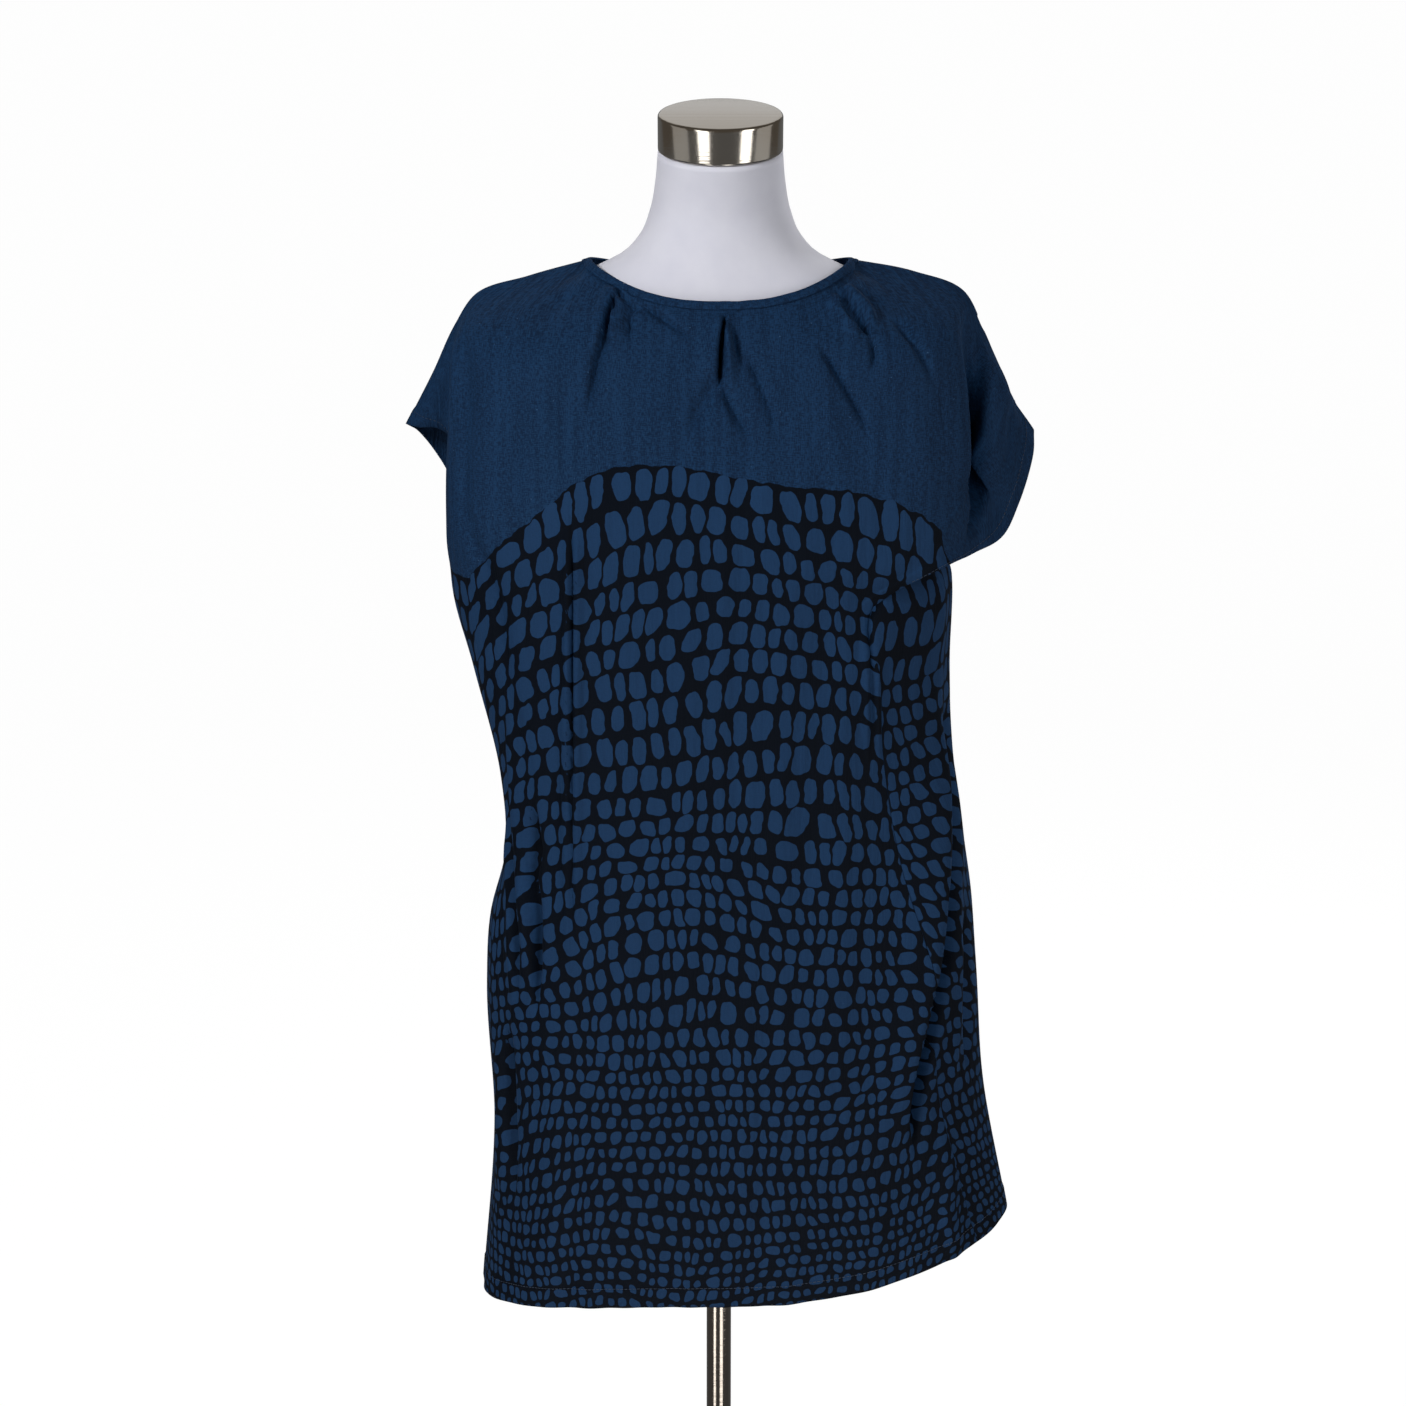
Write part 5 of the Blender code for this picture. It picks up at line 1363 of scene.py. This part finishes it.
@dataclass
class TopStitching:
    """Rows of straight machine stitches along the hems."""

    grids: dict[Panel, PanelGrid]
    cloth: dict[Panel, Grid]
    stitch: float = 0.0028
    pitch: float = 0.0036
    thread: float = 0.00028
    sides: int = 6

    def lines(self) -> list[tuple[np.ndarray, np.ndarray]]:
        """Each stitch line's points and outward normals."""
        found = []
        for panel, grid in self.grids.items():
            outside = grid.outside(self.cloth[panel])
            up = grid.flat[:, 0, 1]
            row = int(np.argmin(np.abs(up - 0.018)))
            found.append((outside[row], grid.normal[row]))
            for hand in Hand:
                column = 5 if hand is Hand.LEFT else grid.inside.shape[1] - 6
                rows = slice(1, CUT.upper_rows - 2)
                found.append((outside[rows, column], grid.normal[rows, column]))
        return found

    def build(self, finish: bpy.types.Material) -> bpy.types.Object:
        """Builds all the stitches as one piece.

        Args:
            finish: The thread's finish.

        Returns:
            The stitches.
        """
        profile = np.array([(-0.5, 0.0), (-0.36, 0.75), (0.0, 1.0), (0.36, 0.75), (0.5, 0.0)])
        points, faces = [], []
        for line, normal in self.lines():
            run = run_of(line)
            for start in np.arange(0.002, run[-1] - self.stitch, self.pitch):
                at = [start, start + self.stitch]
                ends = np.stack([np.interp(at, run, line[:, i]) for i in range(3)], 1)
                out = unit(np.array([np.interp(start, run, normal[:, i]) for i in range(3)]))
                way = unit(ends[1] - ends[0])
                side = np.cross(way, out)
                for share, rise in profile:
                    spot = ends[0] + (share + 0.5) * (ends[1] - ends[0])
                    size = self.thread * (0.35 + 0.65 * rise)
                    middle = spot + (0.6 * self.thread * rise - 0.1 * self.thread) * out
                    for k in range(self.sides):
                        turn = 2 * math.pi * k / self.sides
                        points.append(middle + size * (math.cos(turn) * side + math.sin(turn) * out))
                first = len(points) - len(profile) * self.sides
                for ring in range(len(profile) - 1):
                    for k in range(self.sides):
                        a = first + ring * self.sides + k
                        b = first + ring * self.sides + (k + 1) % self.sides
                        faces.append((a, b, b + self.sides, a + self.sides))
                last = first + (len(profile) - 1) * self.sides
                faces.append(tuple(first + k for k in reversed(range(self.sides))))
                faces.append(tuple(last + k for k in range(self.sides)))
        made = piece_of("hem_stitches", np.array(points), faces, [finish])
        outward(made)
        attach(made, "root")
        return made


@dataclass
class DisplayForm:
    """The covered body and neck of the display form, with its cap, pole and base."""

    around: int = 128
    rows: int = 150
    cap_radius: float = 0.0515
    cap_height: float = 0.031
    cap_edge: float = 0.0028
    pole_radius: float = 0.011
    pole_foot: float = 0.0083
    pole_top: float = 0.7997
    piece_gap: float = 0.0003

    def ring(self, values: np.ndarray) -> np.ndarray:
        """Points round one section, from level, half-width, front, back, squareness and lean."""
        level, half_width, front, back, square, lean_degrees = values
        turn = np.linspace(0, 2 * math.pi, self.around, endpoint=False)
        power = 2 / square
        x = half_width * np.sign(np.cos(turn)) * np.abs(np.cos(turn)) ** power
        sine = np.sign(np.sin(turn)) * np.abs(np.sin(turn)) ** power
        upright = np.where(sine < 0, sine * front, sine * back)
        middle, deep = 0.5 * (back - front), 0.5 * (back + front)
        lean = math.radians(lean_degrees)
        tipped = middle + deep * sine * math.cos(lean)
        share = min(max((level - 1.385) / 0.02, 0.0), 1.0)
        y = upright * (1 - share) + tipped * share
        return np.stack([x, y, level + deep * sine * math.sin(lean)], 1)

    def build_body(self, finish: bpy.types.Material) -> bpy.types.Object:
        """Builds the body and neck as one smooth closed form.

        Args:
            finish: The cover's finish.

        Returns:
            The body.
        """
        table = np.array([[s.level, s.half_width, s.front, s.back, s.square, s.lean] for s in FORM_SECTIONS])
        levels = np.linspace(table[0, 0], table[-1, 0], self.rows)
        values = through(table[:, 0], table, levels)
        rings = [self.ring(value) for value in values]
        underside = rings[0] * np.array([0.97, 0.97, 1]) - np.array([0, 0, 0.006])
        rings.insert(0, underside)
        rings.insert(0, underside * np.array([0.5, 0.5, 1]))
        loops = np.array(rings)
        count, sides = loops.shape[:2]
        number = np.arange(count * sides).reshape(count, sides)
        beside = np.roll(number, -1, 1)
        faces = np.stack([number[:-1], beside[:-1], beside[1:], number[1:]], -1).reshape(-1, 4).tolist()
        faces += [number[0][::-1].tolist(), number[-1].tolist()]
        made = piece_of("form_cover", loops.reshape(-1, 3), faces, [finish])
        outward(made)
        bpy.context.view_layer.objects.active = made
        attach(made, "root")
        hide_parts("form_body")
        return made

    def build_cap(self, finish: bpy.types.Material) -> bpy.types.Object:
        """Builds the polished neck cap from a cylinder with a rounded rim.

        Args:
            finish: The steel's finish.

        Returns:
            The cap.
        """
        top = FORM_SECTIONS[-1]
        tilt = math.radians(top.lean)
        up = Vector((0, -math.sin(tilt), math.cos(tilt)))
        seat = Vector((0, 0.5 * (top.back - top.front), top.level)) + up * (self.piece_gap + 0.5 * self.cap_height)
        bpy.ops.object.select_all(action="DESELECT")
        bpy.ops.mesh.primitive_cylinder_add(vertices=128, radius=self.cap_radius, depth=self.cap_height)
        cap = bpy.context.object
        cap.name = "neck_cap_steel"
        bevel = cap.modifiers.new("rim", "BEVEL")
        bevel.width, bevel.segments, bevel.limit_method = self.cap_edge, 6, "ANGLE"
        bpy.ops.object.modifier_apply(modifier=bevel.name)
        cap.location, cap.rotation_euler = seat, (tilt, 0, 0)
        bpy.ops.object.transform_apply(location=True, rotation=True, scale=True)
        bpy.ops.object.shade_smooth_by_angle(angle=math.radians(35))
        cap.data.materials.append(finish)
        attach(cap, "root")
        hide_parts("neck_cap")
        return cap

    def build_pole(self, finish: bpy.types.Material) -> bpy.types.Object:
        """Builds the polished pole.

        Args:
            finish: The steel's finish.

        Returns:
            The pole.
        """
        bpy.ops.object.select_all(action="DESELECT")
        middle = 0.5 * (self.pole_foot + self.pole_top)
        bpy.ops.mesh.primitive_cylinder_add(
            vertices=96, radius=self.pole_radius, depth=self.pole_top - self.pole_foot, location=(0, 0, middle)
        )
        pole = bpy.context.object
        pole.name = "pole_steel"
        bevel = pole.modifiers.new("ends", "BEVEL")
        bevel.width, bevel.segments, bevel.limit_method = 0.0008, 2, "ANGLE"
        bpy.ops.object.modifier_apply(modifier=bevel.name)
        bpy.ops.object.transform_apply(location=True, rotation=True, scale=True)
        bpy.ops.object.shade_smooth_by_angle(angle=math.radians(35))
        pole.data.materials.append(finish)
        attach(pole, "root")
        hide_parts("pole")
        return pole

    def build_base(self, finish: bpy.types.Material) -> bpy.types.Object:
        """Builds the turned base by spinning its profile.

        Args:
            finish: The steel's finish.

        Returns:
            The base.
        """
        bore = self.pole_radius + 0.0006
        profile = (
            (0.0, 0.008), (bore, 0.008), (bore, 0.046), (0.0190, 0.046), (0.0204, 0.0454), (0.0210, 0.0440),
            (0.0210, 0.0180), (0.0218, 0.0152), (0.0240, 0.0130), (0.0270, 0.0120), (0.0935, 0.0100),
            (0.1640, 0.0063), (0.1680, 0.0054), (0.1697, 0.0036), (0.1700, 0.0020), (0.1700, 0.0), (0.0, 0.0),
        )
        turn = np.linspace(0, 2 * math.pi, 128, endpoint=False)
        loops = np.array([[(r * math.cos(a), r * math.sin(a), z) for a in turn] for r, z in profile])
        made = piece_of("base_steel", *self.turned(loops), [finish])
        bm = bmesh.new()
        bm.from_mesh(made.data)
        bmesh.ops.remove_doubles(bm, verts=bm.verts, dist=1e-6)
        bmesh.ops.recalc_face_normals(bm, faces=bm.faces)
        bm.to_mesh(made.data)
        bm.free()
        outward(made)
        made.data.set_sharp_from_angle(angle=math.radians(35))
        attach(made, "root")
        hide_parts("base")
        return made

    def turned(self, loops: np.ndarray) -> tuple[np.ndarray, list[list[int]]]:
        """Points and faces between rings of equal count."""
        count, sides = loops.shape[:2]
        number = np.arange(count * sides).reshape(count, sides)
        beside = np.roll(number, -1, 1)
        faces = np.stack([number[:-1], beside[:-1], beside[1:], number[1:]], -1).reshape(-1, 4)
        return loops.reshape(-1, 3), faces.tolist()


@dataclass
class Studio:
    """Pale floor and backdrop, soft light and the camera."""

    camera_place: tuple[float, float, float] = (-0.0143, -2.5536, 1.583)
    camera_pitch: float = 77.5
    lens: float = 77.6
    floor_size: float = 12.0

    def build_floor(self, finish: bpy.types.Material) -> bpy.types.Object:
        """A floor that sweeps up into a backdrop.

        Args:
            finish: The paper's finish.

        Returns:
            The floor.
        """
        half, behind, radius, wall = 0.5 * self.floor_size, 6.0, 1.4, 4.6
        profile = [(-half, 0.0), (behind - radius, 0.0)]
        for k in range(1, 13):
            turn = 0.5 * math.pi * k / 12
            profile.append((behind - radius + radius * math.sin(turn), radius * (1 - math.cos(turn))))
        profile.append((behind, wall))
        points = np.array([(x, y, z) for y, z in profile for x in (-half, half)])
        faces = [(2 * k, 2 * k + 1, 2 * k + 3, 2 * k + 2) for k in range(len(profile) - 1)]
        floor = piece_of("studio_floor", points, faces, [finish])
        return floor

    def build_lights(self) -> None:
        """A key light high on the left, fill light, a wide box behind, and boxes that only the steel mirrors."""
        boxes = (
            ("left box", (-1.26, -1.68, 1.25), (0.50, 2.4), 8.0, True),
            ("right box", (0.95, -1.90, 1.25), (0.60, 2.4), 25.0, True),
            ("key box", (-1.80, -1.50, 2.50), (0.6, 0.6), 55.0, True),
            ("ceiling box", (0.0, 2.0, 3.3), (2.4, 1.8), 20.0, True),
            ("back box", (2.0, 2.3, 2.3), (0.8, 0.8), 62.0, True),
            ("left mirrored box", (-1.12, -1.77, 1.25), (0.80, 2.4), 26.0, False),
            ("right mirrored box", (1.60, -1.36, 1.25), (0.80, 2.4), 26.0, False),
            ("far left mirrored box", (-2.5, -0.4, 1.2), (1.6, 2.4), 5.0, False),
            ("far right mirrored box", (2.5, -0.1, 1.2), (1.6, 2.4), 6.0, False),
            ("top mirrored box", (0.0, 2.2, 3.3), (3.0, 2.2), 13.0, False),
            ("left low mirrored box", (-0.37, -0.47, 0.22), (0.20, 0.36), 1.35, False),
            ("right low mirrored box", (0.24, -0.55, 0.22), (0.26, 0.36), 1.75, False),
        )
        for name, place, size, watts, lights_cloth in boxes:
            light = bpy.data.lights.new(name, "AREA")
            light.shape, light.size, light.size_y, light.energy = "RECTANGLE", size[0], size[1], watts
            lamp = bpy.data.objects.new(name, light)
            lamp.location = place
            aim = Vector((0, 0, 1.15 if place[2] > 1 else 0.5))
            lamp.rotation_euler = (aim - Vector(place)).to_track_quat("-Z", "Y").to_euler()
            lamp.visible_camera = False
            lamp.visible_diffuse = lights_cloth
            lamp.visible_glossy = not lights_cloth
            bpy.context.scene.collection.objects.link(lamp)

    def build_surround(self) -> None:
        """A white surround, dimmer where the steel mirrors it and where it lights the cloth."""
        world = bpy.data.worlds.new("pale surround")
        world.use_nodes = True
        tree = world.node_tree
        seen = tree.nodes["Background"]
        seen.inputs["Color"].default_value = linear("#FFFFFF")
        ray = add_node(tree, "LightPath")
        lit = add_node(tree, "Background", {0: linear("#FFFFFF"), 1: 0.24})
        mirrored = add_node(tree, "Background", {0: linear("#B8ADA0"), 1: 0.28})
        dim = add_node(tree, "MixShader", {0: ray.outputs["Is Glossy Ray"], 1: lit.outputs[0], 2: mirrored.outputs[0]})
        both = add_node(tree, "MixShader", {0: ray.outputs["Is Camera Ray"], 1: dim.outputs[0], 2: seen.outputs[0]})
        tree.links.new(both.outputs[0], tree.nodes["World Output"].inputs[0])
        bpy.context.scene.world = world
        bpy.context.scene.view_settings.view_transform = "Standard"

    def build_camera(self) -> None:
        """The camera at the photograph's angle."""
        lens = bpy.data.cameras.new("camera")
        lens.lens, lens.sensor_width = self.lens, 36.0
        camera = bpy.data.objects.new("camera", lens)
        camera.location = self.camera_place
        camera.rotation_euler = (math.radians(self.camera_pitch), 0, 0)
        bpy.context.scene.collection.objects.link(camera)
        bpy.context.scene.camera = camera


CUT = TunicCut()


def report(made: bpy.types.Object) -> None:
    """Logs a finished piece's name and face count."""
    LOG.info("%s: %d faces", made.name, len(made.data.polygons))


def main() -> None:
    """Builds the tunic, its form and the studio, in that order."""
    logging.basicConfig(level=logging.INFO, format="%(message)s")
    studio = Studio()
    studio.build_camera()

    printed = PrintedCrepe().made("printed viscose crepe")
    plain = PlainCrepe().made("dyed viscose crepe, reverse")
    thread = SewingThread().made("spun polyester thread")
    jersey = JerseyCover().made("stretched white jersey")
    steel = PolishedSteel().made("polished stainless steel")
    # the pole's steel is given a darker colour than the cap's: painted shade that dims what the pole mirrors
    tube = PolishedSteel(colour="#7A736B", ring_depth_mm=0.22).made("polished steel tube, darkened for painted shade")

    grids = CUT.draped()
    panels = {
        Panel.FRONT: PanelCloth(grids[Panel.FRONT], "front_panel", (0.74, 0.90), 0.48),
        Panel.BACK: PanelCloth(grids[Panel.BACK], "back_panel", (0.74, 0.90), 0.59),
    }
    cloth = {panel: sheet.thickness() for panel, sheet in panels.items()}
    form = DisplayForm()
    cover = form.build_body(jersey)
    report(cover)
    for sheet in panels.values():
        made = sheet.build([printed, plain])
        report(made)
    binding = NeckBinding(grids, cloth).build(plain)
    report(binding)
    stitches = TopStitching(grids, cloth).build(thread)
    report(stitches)
    for made in (form.build_cap(steel), form.build_pole(tube), form.build_base(steel)):
        report(made)
    studio.build_floor(StudioPaper().made("white background paper"))
    studio.build_lights()
    studio.build_surround()


if __name__ == "__main__":
    main()
